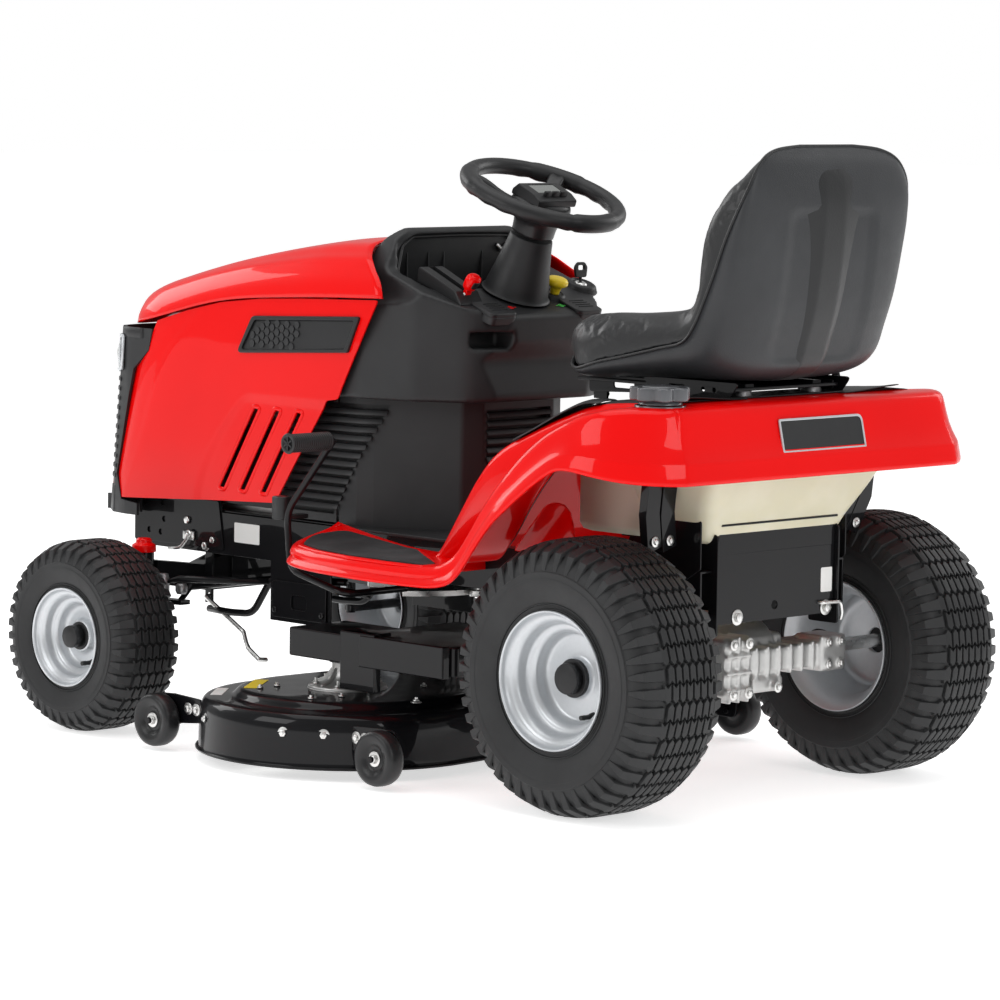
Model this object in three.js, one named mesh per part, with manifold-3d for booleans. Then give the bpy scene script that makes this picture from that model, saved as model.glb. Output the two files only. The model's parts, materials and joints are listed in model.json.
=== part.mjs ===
// Front-engine riding lawn mower, in millimetres, +Z up.
// The machine faces -Y, +X is the operator's left, and the design frame has its origin on the
// ground below the middle of the rear axle. The last step moves it to the middle of its footprint.
import * as THREE from 'three';
import { mergeVertices } from 'three/addons/utils/BufferGeometryUtils.js';
import Module from 'manifold-3d';

const wasm = await Module();
wasm.setup();

// ---------------------------------------------------------------- driving dimensions
const GAP = 0.3;
const WHEELBASE = 1290;
const FRONT_Y = -WHEELBASE;

// Each wheel stands on one flat facet of its tread, so z is both its axle height and its rolling radius.
const WHEEL_SIDES = 20;
const facet = 1 / Math.cos(Math.PI / WHEEL_SIDES);
const REAR_WHEEL = { z: 240, radius: 240 * facet, width: 211, x: 370, rim: 117, bead: 101, shaft: 12.5 };
const FRONT_WHEEL = { z: 183, radius: 183 * facet, width: 155, x: 402, rim: 91, bead: 77, shaft: 9.5 };

const RAIL = { x: 190, flange: 30, sheet: 4, z0: 335, z1: 416, y0: -1414, y1: 90 };
const CROSS = { z0: RAIL.z1 + GAP, z1: RAIL.z1 + GAP + 4, y0: -1395, y1: -600 };
const HOOD_PIN = { y: -1395, z: 415, r: 7 };

const AXLE = { z: 290, wallX: 70, halfY: 22, pinR: 12 };
const KINGPIN = { x: 275, r: 10, z0: 252, z1: 334 };
const TIE_ARM = { dx: 23, dy: 85 };
const LINK_ARM = { dx: 23, dy: 85 };
const SECTOR_ARM = 62;
const SECTOR = { y: -812, z0: 290, z1: 300, radius: 150, pinion: 20 };
const SHAFT_Y = SECTOR.y + SECTOR.radius + SECTOR.pinion;

const STEER = { y: -491, z: 1047, rim: 142, grip: 16, tilt: 0.3554 };
const COLUMN = { base: 200, top: 82, baseR: 60, topR: 41, neckR: 38 };

const DECK = { x: 272, y: -712, r: 262, lip: 272, z0: 17, z1: 115, sheet: 3 };
const GAUGE = { x: 475, y: [-1015, -412], z: 57, r: 50, width: 38 };
const CHUTE = { y0: -800, y1: -640, z0: 30, z1: 104, x0: -546, x1: -690 };
const LIFT_ROD = { x: 150, y: -1253, z: 242 };

const SEAT_HINGE = { y: -240, z: 700 };
const SHELL = 3;
const CAP = { x: 330, y: 118, z: 714, r: 50 };

const COLOUR = {
  red: 0xd80f14, black: 0x1c1c1e, charcoal: 0x35363a, rubber: 0x202022, silver: 0xb9bcc0,
  cast: 0xa6a8ab, tank: 0xe6e2cf, vinyl: 0x232427, yellow: 0xe8c818, zinc: 0xc4c8cc,
};

// ---------------------------------------------------------------- solids, joined and cut
function solid(geometry) {
  const bare = geometry.clone();
  for (const name of Object.keys(bare.attributes)) {
    if (name !== 'position') bare.deleteAttribute(name);
  }
  const merged = mergeVertices(bare, 1e-3);
  const mesh = new wasm.Mesh({
    numProp: 3,
    vertProperties: new Float32Array(merged.attributes.position.array),
    triVerts: new Uint32Array(merged.index.array),
  });
  const made = new wasm.Manifold(mesh);
  return made.volume() < 0 ? flipped(mesh) : made;
}

function flipped(mesh) {
  const turned = new Uint32Array(mesh.triVerts);
  for (let i = 0; i < turned.length; i += 3) {
    [turned[i], turned[i + 1]] = [turned[i + 1], turned[i]];
  }
  return new wasm.Manifold(new wasm.Mesh({
    numProp: 3, vertProperties: mesh.vertProperties, triVerts: turned,
  }));
}

function geometryOf(shape) {
  const mesh = shape.getMesh();
  const geometry = new THREE.BufferGeometry();
  geometry.setAttribute('position', new THREE.BufferAttribute(new Float32Array(mesh.vertProperties), 3));
  geometry.setIndex(new THREE.BufferAttribute(new Uint32Array(mesh.triVerts), 1));
  return geometry;
}

const join = (...shapes) => shapes.reduce((all, next) => all.add(next));
const cut = (shape, ...tools) => tools.reduce((rest, tool) => rest.subtract(tool), shape);
const common = (...shapes) => shapes.reduce((all, next) => all.intersect(next));
const placed = (geometry, matrix) => solid(geometry.clone().applyMatrix4(matrix));
const shifted = (shape, x, y, z) => shape.translate([x, y, z]);
const mirrored = (shape) => shape.mirror([1, 0, 0]);
const bothSides = (shape) => join(shape, mirrored(shape));

function box(x0, x1, y0, y1, z0, z1) {
  const geometry = new THREE.BoxGeometry(x1 - x0, y1 - y0, z1 - z0);
  geometry.translate((x0 + x1) / 2, (y0 + y1) / 2, (z0 + z1) / 2);
  return solid(geometry);
}

function outline(points) {
  return new THREE.Shape(points.map(([a, b]) => new THREE.Vector2(a, b)));
}

function extruded(shape, depth, steps = 1) {
  const geometry = new THREE.ExtrudeGeometry(shape, { depth, steps, bevelEnabled: false, curveSegments: 12 });
  return geometry;
}

// An outline drawn in (y, z) and pushed along X.
function prismX(points, x0, x1) {
  const geometry = extruded(outline(points), x1 - x0);
  const basis = new THREE.Matrix4().makeBasis(
    new THREE.Vector3(0, 1, 0), new THREE.Vector3(0, 0, 1), new THREE.Vector3(1, 0, 0));
  basis.setPosition(x0, 0, 0);
  return placed(geometry, basis);
}

// An outline drawn in (x, z) and pushed along Y.
function prismY(points, y0, y1) {
  const geometry = extruded(outline(points), y1 - y0);
  const basis = new THREE.Matrix4().makeBasis(
    new THREE.Vector3(1, 0, 0), new THREE.Vector3(0, 0, 1), new THREE.Vector3(0, -1, 0));
  basis.setPosition(0, y1, 0);
  return placed(geometry, basis);
}

// An outline drawn in (x, y) and pushed along Z.
function prismZ(points, z0, z1) {
  const geometry = extruded(outline(points), z1 - z0);
  geometry.translate(0, 0, z0);
  return solid(geometry);
}

function aimed(geometry, from, to) {
  const a = new THREE.Vector3(...from);
  const b = new THREE.Vector3(...to);
  const turn = new THREE.Quaternion().setFromUnitVectors(
    new THREE.Vector3(0, 1, 0), b.clone().sub(a).normalize());
  const middle = a.clone().add(b).multiplyScalar(0.5);
  return placed(geometry, new THREE.Matrix4().compose(middle, turn, new THREE.Vector3(1, 1, 1)));
}

function rod(from, to, radius, segments = 14, endRadius = radius) {
  const length = new THREE.Vector3(...from).distanceTo(new THREE.Vector3(...to));
  return aimed(new THREE.CylinderGeometry(endRadius, radius, length, segments), from, to);
}

// A round bar along straight runs with rounded bends.
function bentRod(points, radius, bend = 14, steps = 13, sides = 8) {
  const at = points.map((p) => new THREE.Vector3(...p));
  const path = new THREE.CurvePath();
  let from = at[0];
  for (let i = 1; i + 1 < at.length; i += 1) {
    const back = at[i - 1].clone().sub(at[i]);
    const ahead = at[i + 1].clone().sub(at[i]);
    const reach = Math.min(bend, back.length() * 0.45, ahead.length() * 0.45);
    const enter = at[i].clone().add(back.setLength(reach));
    const leave = at[i].clone().add(ahead.setLength(reach));
    path.add(new THREE.LineCurve3(from, enter));
    path.add(new THREE.QuadraticBezierCurve3(enter, at[i], leave));
    from = leave;
  }
  path.add(new THREE.LineCurve3(from, at[at.length - 1]));
  const section = new THREE.Shape();
  for (let i = 0; i < sides; i += 1) {
    const angle = i / sides * 2 * Math.PI;
    const spot = [radius * Math.cos(angle), radius * Math.sin(angle)];
    if (i === 0) section.moveTo(...spot);
    else section.lineTo(...spot);
  }
  return solid(new THREE.ExtrudeGeometry(section, { steps, extrudePath: path, bevelEnabled: false }));
}

// A closed (radius, along) profile turned round X, centred on (x, y, z); outward is the side it faces.
function turnedX(profile, x, y, z, outward, segments) {
  const points = profile.map(([r, along]) => new THREE.Vector2(r, along));
  const geometry = new THREE.LatheGeometry(points, segments);
  geometry.rotateY(Math.PI / segments);
  geometry.rotateZ(-Math.PI / 2 * outward);
  geometry.translate(x, y, z);
  return solid(geometry);
}

function turnedZ(profile, x, y, segments) {
  const points = profile.map(([r, z]) => new THREE.Vector2(r, z));
  const geometry = new THREE.LatheGeometry(points, segments);
  geometry.rotateX(Math.PI / 2);
  geometry.translate(x, y, 0);
  return solid(geometry);
}

// The outline moved inward by a distance, corner by corner.
function inset(points, distance) {
  if (distance === 0) return points;
  const area = points.reduce((sum, [x, y], i) => {
    const [nx, ny] = points[(i + 1) % points.length];
    return sum + x * ny - nx * y;
  }, 0);
  const side = Math.sign(area) * distance;
  const unit = (from, to) => {
    const length = Math.hypot(to[0] - from[0], to[1] - from[1]);
    return [(to[0] - from[0]) / length, (to[1] - from[1]) / length];
  };
  return points.map((here, i) => {
    const a = unit(points[(i + points.length - 1) % points.length], here);
    const b = unit(here, points[(i + 1) % points.length]);
    const spread = 1 + a[0] * b[0] + a[1] * b[1];
    return [here[0] - side * (a[1] + b[1]) / spread, here[1] + side * (a[0] + b[0]) / spread];
  });
}

// A shell open underneath: the full shape less its inset copy, which is also cut through the floor.
function shellOf(shape, sheet, drop = 2 * sheet) {
  const core = shape(sheet);
  return cut(shape(0), core, shifted(core, 0, 0, -drop));
}

// Moves every vertex of an extrusion, so a straight section can taper, lean or crown along its length.
function reshaped(geometry, move) {
  const place = geometry.attributes.position;
  const point = new THREE.Vector3();
  for (let i = 0; i < place.count; i += 1) {
    point.fromBufferAttribute(place, i);
    move(point);
    place.setXYZ(i, point.x, point.y, point.z);
  }
  return geometry;
}

// Straight lines through (input, output) pairs.
function between(value, pairs) {
  if (value <= pairs[0][0]) return pairs[0][1];
  for (let i = 1; i < pairs.length; i += 1) {
    const [a, fa] = pairs[i - 1];
    const [b, fb] = pairs[i];
    if (value <= b) return fa + (fb - fa) * (value - a) / (b - a);
  }
  return pairs[pairs.length - 1][1];
}

const steerAxis = new THREE.Vector3(0, Math.sin(STEER.tilt), Math.cos(STEER.tilt));
const steerPoint = (down) => [0, STEER.y - steerAxis.y * down, STEER.z - steerAxis.z * down];

// ---------------------------------------------------------------- scene graph
const model = new THREE.Group();
const finish = {};
function material(colour, roughness, metalness = 0) {
  const key = `${colour}_${roughness}_${metalness}`;
  finish[key] ??= new THREE.MeshStandardMaterial({ color: colour, roughness, metalness });
  return finish[key];
}
const paint = material(COLOUR.red, 0.25);
const blackPaint = material(COLOUR.black, 0.3, 0.2);
const plastic = material(COLOUR.charcoal, 0.5);
const rubber = material(COLOUR.rubber, 0.8);
const wheelPaint = material(COLOUR.silver, 0.35, 0.7);
const casting = material(COLOUR.cast, 0.45, 0.9);
const tankPlastic = material(COLOUR.tank, 0.55);
const vinyl = material(COLOUR.vinyl, 0.5);
const yellow = material(COLOUR.yellow, 0.4);
const zinc = material(COLOUR.zinc, 0.3, 0.9);

function add(name, shape, look) {
  const mesh = new THREE.Mesh(geometryOf(shape), look);
  mesh.name = name;
  model.add(mesh);
}

function addPair(name, leftShape, look) {
  add(`${name}_left`, leftShape, look);
  add(`${name}_right`, mirrored(leftShape), look);
}

// ---------------------------------------------------------------- chassis
function frameRail() {
  const { x, flange, sheet, z0, z1 } = RAIL;
  const channel = prismY([
    [x, z0], [x, z1], [x - flange, z1], [x - flange, z1 - sheet], [x - sheet, z1 - sheet],
    [x - sheet, z0 + sheet], [x - flange, z0 + sheet], [x - flange, z0]], RAIL.y0, RAIL.y1);
  const sidePlate = prismX([[-1414, z0 + 1], [-1140, z0 + 1], [-1165, 440], [-1414, 440]], x - sheet, x);
  const hanger = prismX([[-1018, 222], [-849, 222], [-849, z0 + 1], [-1018, z0 + 1]], x - sheet, x);
  const pin = rod([x - 2, HOOD_PIN.y, HOOD_PIN.z], [x + 26, HOOD_PIN.y, HOOD_PIN.z], HOOD_PIN.r);
  return join(channel, sidePlate, hanger, pin);
}

function frontMember() {
  const inside = RAIL.x - RAIL.sheet - GAP;
  const clear = RAIL.x - RAIL.flange - GAP;
  const plate = box(-inside, inside, CROSS.y0, CROSS.y1, CROSS.z0, CROSS.z1);
  const nosePlate = box(-clear, clear, CROSS.y0, CROSS.y0 + 4, 341, CROSS.z1 - 1);
  const wallFront = box(-AXLE.wallX, AXLE.wallX, FRONT_Y - 27, FRONT_Y - 23, 262, CROSS.z1 - 1);
  const wallRear = box(-AXLE.wallX, AXLE.wallX, FRONT_Y + 23, FRONT_Y + 27, 262, CROSS.z1 - 1);
  const pivot = rod([0, FRONT_Y - 26, AXLE.z], [0, FRONT_Y + 26, AXLE.z], AXLE.pinR, 20);
  const ear = prismX([[-1264, 228], [-1242, 228], [-1242, CROSS.z1 - 1], [-1264, CROSS.z1 - 1]], 136, 140);
  const earHole = rod([130, LIFT_ROD.y, LIFT_ROD.z], [146, LIFT_ROD.y, LIFT_ROD.z], 6, 12);
  const post = rod([0, SECTOR.y, SECTOR.z0 - 6], [0, SECTOR.y, CROSS.z1 - 1], 12, 16);
  const shaftHole = rod([0, SHAFT_Y, 380], [0, SHAFT_Y, 440], 14, 16);
  const ears = bothSides(cut(ear, earHole));
  return cut(join(plate, nosePlate, wallFront, wallRear, pivot, ears, post), shaftHole);
}

function rearPlate() {
  const plate = box(-157, 157, 91, 95, 319.5, 497);
  const fold = box(-153, 153, 94, 106, 493, 497);
  const side = box(153, 157, 40, 92, 345, 410);
  const hitchHole = rod([0, 80, 345], [0, 110, 345], 8, 16);
  return cut(join(plate, fold, bothSides(side)), hitchHole);
}

function engine() {
  const base = box(-150, 150, -1300, -990, CROSS.z1 + GAP, 470);
  const crankcase = box(-120, 120, -1270, -1010, 465, 560);
  const blower = turnedZ([[0, 555], [135, 555], [142, 575], [142, 640], [120, 672], [0, 680]], 0, -1140, 32);
  const cylinder = box(-60, 60, -1335, -1200, 480, 590);
  return join(base, crankcase, blower, cylinder);
}

function muffler() {
  const body = rod([-110, -1378, 520], [110, -1378, 520], 36, 20);
  const inlet = rod([0, -1375, 520], [0, -1335 - GAP, 520], 12, 12);
  return join(body, inlet);
}

function battery() {
  const caseBox = box(-95, 95, -935, -800, CROSS.z1 + GAP, 590);
  const post = rod([0, -830, 588], [0, -830, 604], 8, 10);
  return join(caseBox, shifted(post, 65, 0, 0), shifted(post, -65, 0, 0));
}

// ---------------------------------------------------------------- hood
const HOOD = {
  halfWidth: [[-1451, 205], [-1400, 236], [-1300, 244], [-1096, 256], [-860, 266], [-640, 270]],
  seam: [[-1451, 765], [-1400, 768], [-1323, 781], [-1096, 828], [-860, 846], [-640, 854]],
  top: [
    [-1462, 795], [-1440, 818], [-1399, 834], [-1308, 862],
    [-1105, 912], [-876, 952], [-760, 958], [-640, 952]],
};
const sideX = (y) => between(y, HOOD.halfWidth);

// Crown of the hood across its width: how high the skin stands between the seam (0) and the ridge (1).
function crown(share) {
  return Math.pow(Math.cos(Math.min(1, Math.abs(share)) * Math.PI / 2), 0.42);
}

function hoodTop() {
  const across = [];
  const steps = 7;
  for (let i = -steps; i <= steps; i += 1) {
    const share = Math.sin(i / steps * Math.PI / 2);
    across.push([share, crown(share)]);
  }
  const inner = across.slice(1, -1).reverse().map(([u, v]) => [u * 0.985, v * 0.96 - 0.03]);
  const band = outline([...across, ...inner]);
  const length = 822;
  const geometry = extruded(band, length, 10);
  reshaped(geometry, (p) => {
    const y = -1462 + p.z;
    const seam = between(y, HOOD.seam);
    const ridge = between(y, HOOD.top);
    const nose = Math.sqrt(Math.max(0.2, Math.min(1, (y + 1470) / 75)));
    const x = p.x * sideX(y) * nose;
    p.set(x, y, seam + p.y * (ridge - seam));
  });
  return cut(solid(geometry), box(-215, 215, -738, -600, 800, 1000));
}

function hoodSide() {
  const edge = outline([
    [-1299, 779], [-1096, 824], [-860, 843], [-652, 851], [-655, 846], [-743, 683], [-751, 669],
    [-783, 662], [-932, 458], [-1137, 447], [-1401, 428], [-1419, 476], [-1361, 685], [-1316, 723]]);
  for (let i = 0; i < 3; i += 1) {
    const y = -1089 + i * 64;
    const vent = new THREE.Path();
    vent.moveTo(y, 476);
    vent.lineTo(y + 24, 474);
    vent.lineTo(y + 90, 634);
    vent.lineTo(y + 66, 636);
    edge.holes.push(vent);
  }
  const sheet = extruded(edge, SHELL);
  reshaped(sheet, (p) => {
    const [y, z] = [p.x, p.y];
    p.set(sideX(y) - SHELL + p.z, y, z);
  });
  return solid(sheet);
}

function grille() {
  const outside = [[0, -1493], [150, -1488], [205, -1472], [232, -1435], [241, -1390], [243, -1290]];
  const inside = outside.map(([x, y]) => [Math.max(0, x - 6), y + 6]);
  const bar = prismZ([...outside, ...inside.reverse()], 398, 764);
  const lean = prismX([
    [-1520, 380], [-1352, 380], [-1352, 421], [-1404, 426], [-1422, 476], [-1364, 685], [-1319, 722],
    [-1308, 764], [-1520, 780]], -10, 260);
  // The face leans back towards its top, and the side wings stay where they are.
  const leaning = reshaped(geometryOf(common(bar, lean)), (p) => {
    p.y += (p.z - 398) / 366 * 34 * Math.min(1, Math.max(0, (-1350 - p.y) / 100));
  });
  const ear = prismX([[-1478, 400], [-1380, 400], [-1380, 430], [-1478, 430]], 203, 209);
  const pinHole = rod([195, HOOD_PIN.y, HOOD_PIN.z], [220, HOOD_PIN.y, HOOD_PIN.z], HOOD_PIN.r + 0.5, 16);
  return bothSides(join(common(solid(leaning), lean), cut(ear, pinHole)));
}

// ---------------------------------------------------------------- dash and cowl
const DASH = { tray: [-703, -612], floor: 846 };

function dashSolid(skin) {
  const side = prismX(inset([
    [-800, 690], [-800, 858], [-741, 876], [-735, 940], [-716, 965], [-706, 962], [-690, 907], [-472, 826],
    [-478, 777], [-502, 742], [-486, 681], [-520, 681], [-764, 666]], skin), -262, 262);
  const plan = prismZ(inset([
    [-256, -800], [256, -800], [252, -700], [228, -600], [170, -507], [78, -472],
    [-78, -472], [-170, -507], [-228, -600], [-252, -700]], skin), 600, 1000);
  const front = prismY(inset([
    [-252, 600], [252, 600], [258, 838], [206, 850], [206, 905], [150, 957], [132, 966],
    [-132, 966], [-150, 957], [-206, 905], [-206, 850], [-258, 838]], skin), -900, -400);
  return common(side, plan, front);
}

function dashHousing() {
  const shell = shellOf(dashSolid, 4);
  const tray = box(-170, 170, DASH.tray[0], DASH.tray[1], DASH.floor, 1000);
  const shaftHole = rod(steerPoint(150), steerPoint(420), 16, 16);
  return cut(shell, tray, shaftHole);
}

function dashTray() {
  const [y0, y1] = DASH.tray;
  const outer = box(-168, 168, y0 + GAP, y1 - GAP, DASH.floor - 12, 877);
  const inner = box(-164, 164, y0 + 4, y1 - 4, DASH.floor - 8, 900);
  const shaftHole = rod(steerPoint(150), steerPoint(420), 16, 16);
  return cut(outer, inner, shaftHole);
}

function lowerCowl() {
  const walls = (skin) => prismZ(inset([
    [-228, -772], [228, -772], [226, -730], [128, -562], [96, -548], [-96, -548], [-128, -562], [-226, -730]],
  skin), 424, 662 - skin);
  const shell = shellOf(walls, 3);
  const openFront = box(-222, 222, -790, -765, 430, 658);
  const foot = box(-245, 245, -772, -446, CROSS.z1 + GAP, 427);
  const shaftHole = rod([0, SHAFT_Y, 400], [0, SHAFT_Y, 700], 24, 16);
  return cut(join(shell, foot), openFront, shaftHole);
}

function columnCover() {
  const { base, top, baseR, topR } = COLUMN;
  const outer = rod(steerPoint(base - 1), steerPoint(top), baseR, 20, topR);
  const inner = rod(steerPoint(base + 5), steerPoint(top + 4), baseR - 3, 20, topR - 3);
  const bore = rod(steerPoint(base), steerPoint(top - 5), 13, 16);
  return cut(outer, inner, bore);
}

// ---------------------------------------------------------------- fender with footrests
function fenderSolid(skin = 0) {
  const inner = prismX(inset([
    [-440, 372], [-440, 404], [-420, 427], [-330, 560], [-282, 608], [-118, 681], [-47, 703], [178, 712],
    [191, 620], [207, 610], [207, 584], [-100, 584], [-262, 372]], skin), -330, 330);
  const band = prismX(inset([
    [-310, 372], [-297, 404], [-241, 440], [-176, 540], [-81, 635], [0, 682], [82, 702], [178, 710],
    [191, 620], [207, 610], [207, 584], [120, 600], [43, 606], [-51, 573], [-150, 500], [-215, 420],
    [-240, 372]], skin), 320, 468 - skin);
  const pan = prismZ(inset([
    [252, -766], [330, -778], [392, -752], [440, -650], [466, -480], [468, -235], [252, -235]], skin),
  372, 404 - skin);
  const plan = prismZ(inset([
    [-468, -800], [468, -800], [468, 70], [424, 158], [352, 207], [-352, 207], [-424, 158], [-468, 70]],
  skin), 300, 800);
  return common(join(inner, bothSides(join(band, pan))), plan);
}

function fenderBody(whole) {
  const shell = shellOf(fenderSolid, 4);
  const wellWall = common(box(246, 250, -436, 60, 372, 720), shifted(whole, 0, 0, -1));
  const leverSlot = box(-396, -372, -122, 22, 540, 720);
  const chassisRoom = box(-245, 245, -460, 0, 360, 428);
  const pedalSlot = box(-362, -338, -594, -536, 360, 420);
  return cut(join(shell, bothSides(wellWall)), leverSlot, chassisRoom, pedalSlot);
}

function fenderConsole(whole) {
  const region = box(-322, 322, -290, 150, 560, 760);
  const pad = cut(common(shifted(whole, 0, 0, 12), region), shifted(whole, 0, 0, GAP + 0.3));
  const bracket = prismX([[-262, 630], [-218, 640], [-228, 712], [-252, 712]], 90, 95);
  const above = cut(bracket, shifted(whole, 0, 0, 5));
  const hinge = rod([80, SEAT_HINGE.y, SEAT_HINGE.z], [106, SEAT_HINGE.y, SEAT_HINGE.z], 6.5, 14);
  const pair = bothSides(above);
  const capRoom = rod([CAP.x, CAP.y, 600], [CAP.x, CAP.y, 800], CAP.r + 5, 20);
  return cut(join(pad, pair), bothSides(hinge), capRoom);
}

function fuelTank() {
  const side = prismX([
    [-46, 462], [86, 462], [88, 499], [108, 499], [158, 592], [158, 650], [-60, 650], [-60, 500]], -230, 230);
  const front = prismY([
    [-175, 462], [175, 462], [226, 570], [226, 650], [-226, 650], [-226, 570]], -80, 180);
  return common(side, front);
}

function transaxle() {
  const z = REAR_WHEEL.z;
  const main = box(-96, 96, -95, 72, 178, 288);
  const gearCase = rod([-70, -30, z], [70, -30, z], 78, 20);
  const tubes = rod([-234, 0, z], [234, 0, z], 30, 18);
  const rightArm = box(-235, -90, 20, 62, 218, 262);
  const input = rod([0, -60, 280], [0, -60, 312], 14, 14);
  const pulley = rod([0, -60, 306], [0, -60, 322], 58, 24);
  return join(main, gearCase, tubes, rightArm, input, pulley);
}

// ---------------------------------------------------------------- wheels
function tyre(w, x, y, z, outward) {
  const half = w.width / 2;
  const inside = w.bead + GAP;
  const profile = [
    [inside, -half * 0.72], [w.rim + 6, -half * 0.92], [w.radius * 0.8, -half], [w.radius * 0.94, -half * 0.93],
    [w.radius, -half * 0.62], [w.radius, half * 0.62], [w.radius * 0.94, half * 0.93], [w.radius * 0.8, half],
    [w.rim + 6, half * 0.92], [inside, half * 0.72], [inside, half * 0.56], [w.radius * 0.88, half * 0.72],
    [w.radius * 0.88, -half * 0.72], [inside, -half * 0.56], [inside, -half * 0.72]];
  return turnedX(profile, x, y, z, outward, WHEEL_SIDES);
}

function rim(w, x, y, z, outward) {
  const half = w.width / 2;
  const bore = w.shaft + GAP;
  const disc = half * 0.1;
  const seat = w.bead - GAP;
  const profile = [
    [bore, disc - 12], [seat - 20, disc - 3], [seat - 20, -half * 0.42], [w.rim - 3, -half * 0.93],
    [w.rim, -half * 0.91], [seat, -half * 0.74], [seat, -half * 0.54], [seat, half * 0.54], [seat, half * 0.74],
    [w.rim, half * 0.91], [w.rim - 3, half * 0.93], [seat - 20, half * 0.42], [seat - 20, disc + 3],
    [bore, disc + 22], [bore, disc - 12]];
  return turnedX(profile, x, y, z, outward, WHEEL_SIDES);
}

function axleShaft() {
  const z = REAR_WHEEL.z;
  return rod([234 + GAP, 0, z], [REAR_WHEEL.x + 42, 0, z], REAR_WHEEL.shaft, 18);
}

// ---------------------------------------------------------------- steering and front axle
function steeringWheel() {
  const ring = new THREE.TorusGeometry(STEER.rim, STEER.grip, 7, 26);
  const hub = new THREE.CylinderGeometry(44, 40, 26, 16);
  const turn = new THREE.Quaternion().setFromUnitVectors(new THREE.Vector3(0, 0, 1), steerAxis);
  const pose = new THREE.Matrix4().compose(
    new THREE.Vector3(0, STEER.y, STEER.z), turn, new THREE.Vector3(1, 1, 1));
  let wheel = placed(ring, pose);
  hub.rotateX(Math.PI / 2);
  wheel = wheel.add(placed(hub, pose));
  for (const angle of [Math.PI * 0.04, Math.PI * 0.96, Math.PI * 1.5]) {
    const spoke = new THREE.BoxGeometry(STEER.rim - 20, 30, 12);
    spoke.translate(STEER.rim / 2 + 8, 0, 0);
    spoke.rotateZ(angle);
    wheel = wheel.add(placed(spoke, pose));
  }
  const neck = rod(steerPoint(COLUMN.top - 1), steerPoint(8), COLUMN.neckR, 16);
  const shaft = rod(steerPoint(425), steerPoint(70), 9, 14);
  return join(wheel, neck, shaft);
}

function steeringShaft() {
  const shaft = rod([0, SHAFT_Y, SECTOR.z0], [0, SHAFT_Y, 618], 9, 14);
  const joint = rod([0, SHAFT_Y, 606], [0, SHAFT_Y, 626], 14, 14);
  const pinion = rod([0, SHAFT_Y, SECTOR.z0 - 1], [0, SHAFT_Y, SECTOR.z1 + 1], SECTOR.pinion - 0.6, 16);
  return join(shaft, joint, pinion);
}

function sectorGear() {
  const reach = SECTOR.radius - 0.6;
  const points = [[-22, SECTOR.y - 18]];
  const fan = 0.95;
  for (let i = 0; i <= 12; i += 1) {
    const angle = Math.PI / 2 + fan - 2 * fan * i / 12;
    points.push([reach * Math.cos(angle), SECTOR.y + reach * Math.sin(angle)]);
  }
  points.push([22, SECTOR.y - 18]);
  const plate = prismZ(points, SECTOR.z0, SECTOR.z1);
  const arm = prismZ([
    [-8, SECTOR.y + 14], [SECTOR_ARM + 12, SECTOR.y - SECTOR_ARM + 6],
    [SECTOR_ARM - 4, SECTOR.y - SECTOR_ARM - 14],
    [-16, SECTOR.y - 8]], SECTOR.z0, SECTOR.z1);
  const bore = rod([0, SECTOR.y, SECTOR.z0 - 9], [0, SECTOR.y, SECTOR.z1 + 9], 12.5, 16);
  return cut(join(plate, arm), bore);
}

function frontAxle() {
  const upper = [[-258, 318], [-140, 302], [-60, 328], [60, 328], [140, 302], [258, 318]];
  const beam = prismY([...upper, [258, 272], [130, 250], [-130, 250], [-258, 272]],
    FRONT_Y - AXLE.halfY, FRONT_Y + AXLE.halfY);
  const sleeve = rod([KINGPIN.x, FRONT_Y, KINGPIN.z0], [KINGPIN.x, FRONT_Y, KINGPIN.z1], 20, 18);
  const bore = rod([KINGPIN.x, FRONT_Y, 200], [KINGPIN.x, FRONT_Y, 360], KINGPIN.r + 0.4, 18);
  const pivot = rod([0, FRONT_Y - 60, AXLE.z], [0, FRONT_Y + 60, AXLE.z], AXLE.pinR + 0.4, 20);
  return cut(join(beam, bothSides(sleeve)), bothSides(bore), pivot);
}

function frontSpindle(withLinkArm) {
  const z = FRONT_WHEEL.z;
  const kingpin = rod([KINGPIN.x, FRONT_Y, z - 10], [KINGPIN.x, FRONT_Y, 352], KINGPIN.r, 18);
  const stub = rod([KINGPIN.x - 8, FRONT_Y, z], [FRONT_WHEEL.x + 34, FRONT_Y, z], FRONT_WHEEL.shaft, 16);
  const tieArm = prismZ([
    [KINGPIN.x - 16, FRONT_Y - 12], [KINGPIN.x + 16, FRONT_Y - 12],
    [KINGPIN.x - TIE_ARM.dx + 12, FRONT_Y + TIE_ARM.dy + 12],
    [KINGPIN.x - TIE_ARM.dx - 12, FRONT_Y + TIE_ARM.dy + 12]], 238, 247);
  const body = join(kingpin, stub, tieArm);
  if (!withLinkArm) return body;
  const linkArm = prismZ([
    [KINGPIN.x - 16, FRONT_Y - 10], [KINGPIN.x + 16, FRONT_Y - 10],
    [KINGPIN.x + LINK_ARM.dx + 12, FRONT_Y + LINK_ARM.dy + 12],
    [KINGPIN.x + LINK_ARM.dx - 12, FRONT_Y + LINK_ARM.dy + 12]], 238, 247);
  return join(body, linkArm);
}

function tieRod() {
  const x = KINGPIN.x - TIE_ARM.dx;
  const y = FRONT_Y + TIE_ARM.dy;
  return bentRod([[x, y, 247 + GAP], [x, y, 270], [-x, y, 270], [-x, y, 247 + GAP]], 7);
}

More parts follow.
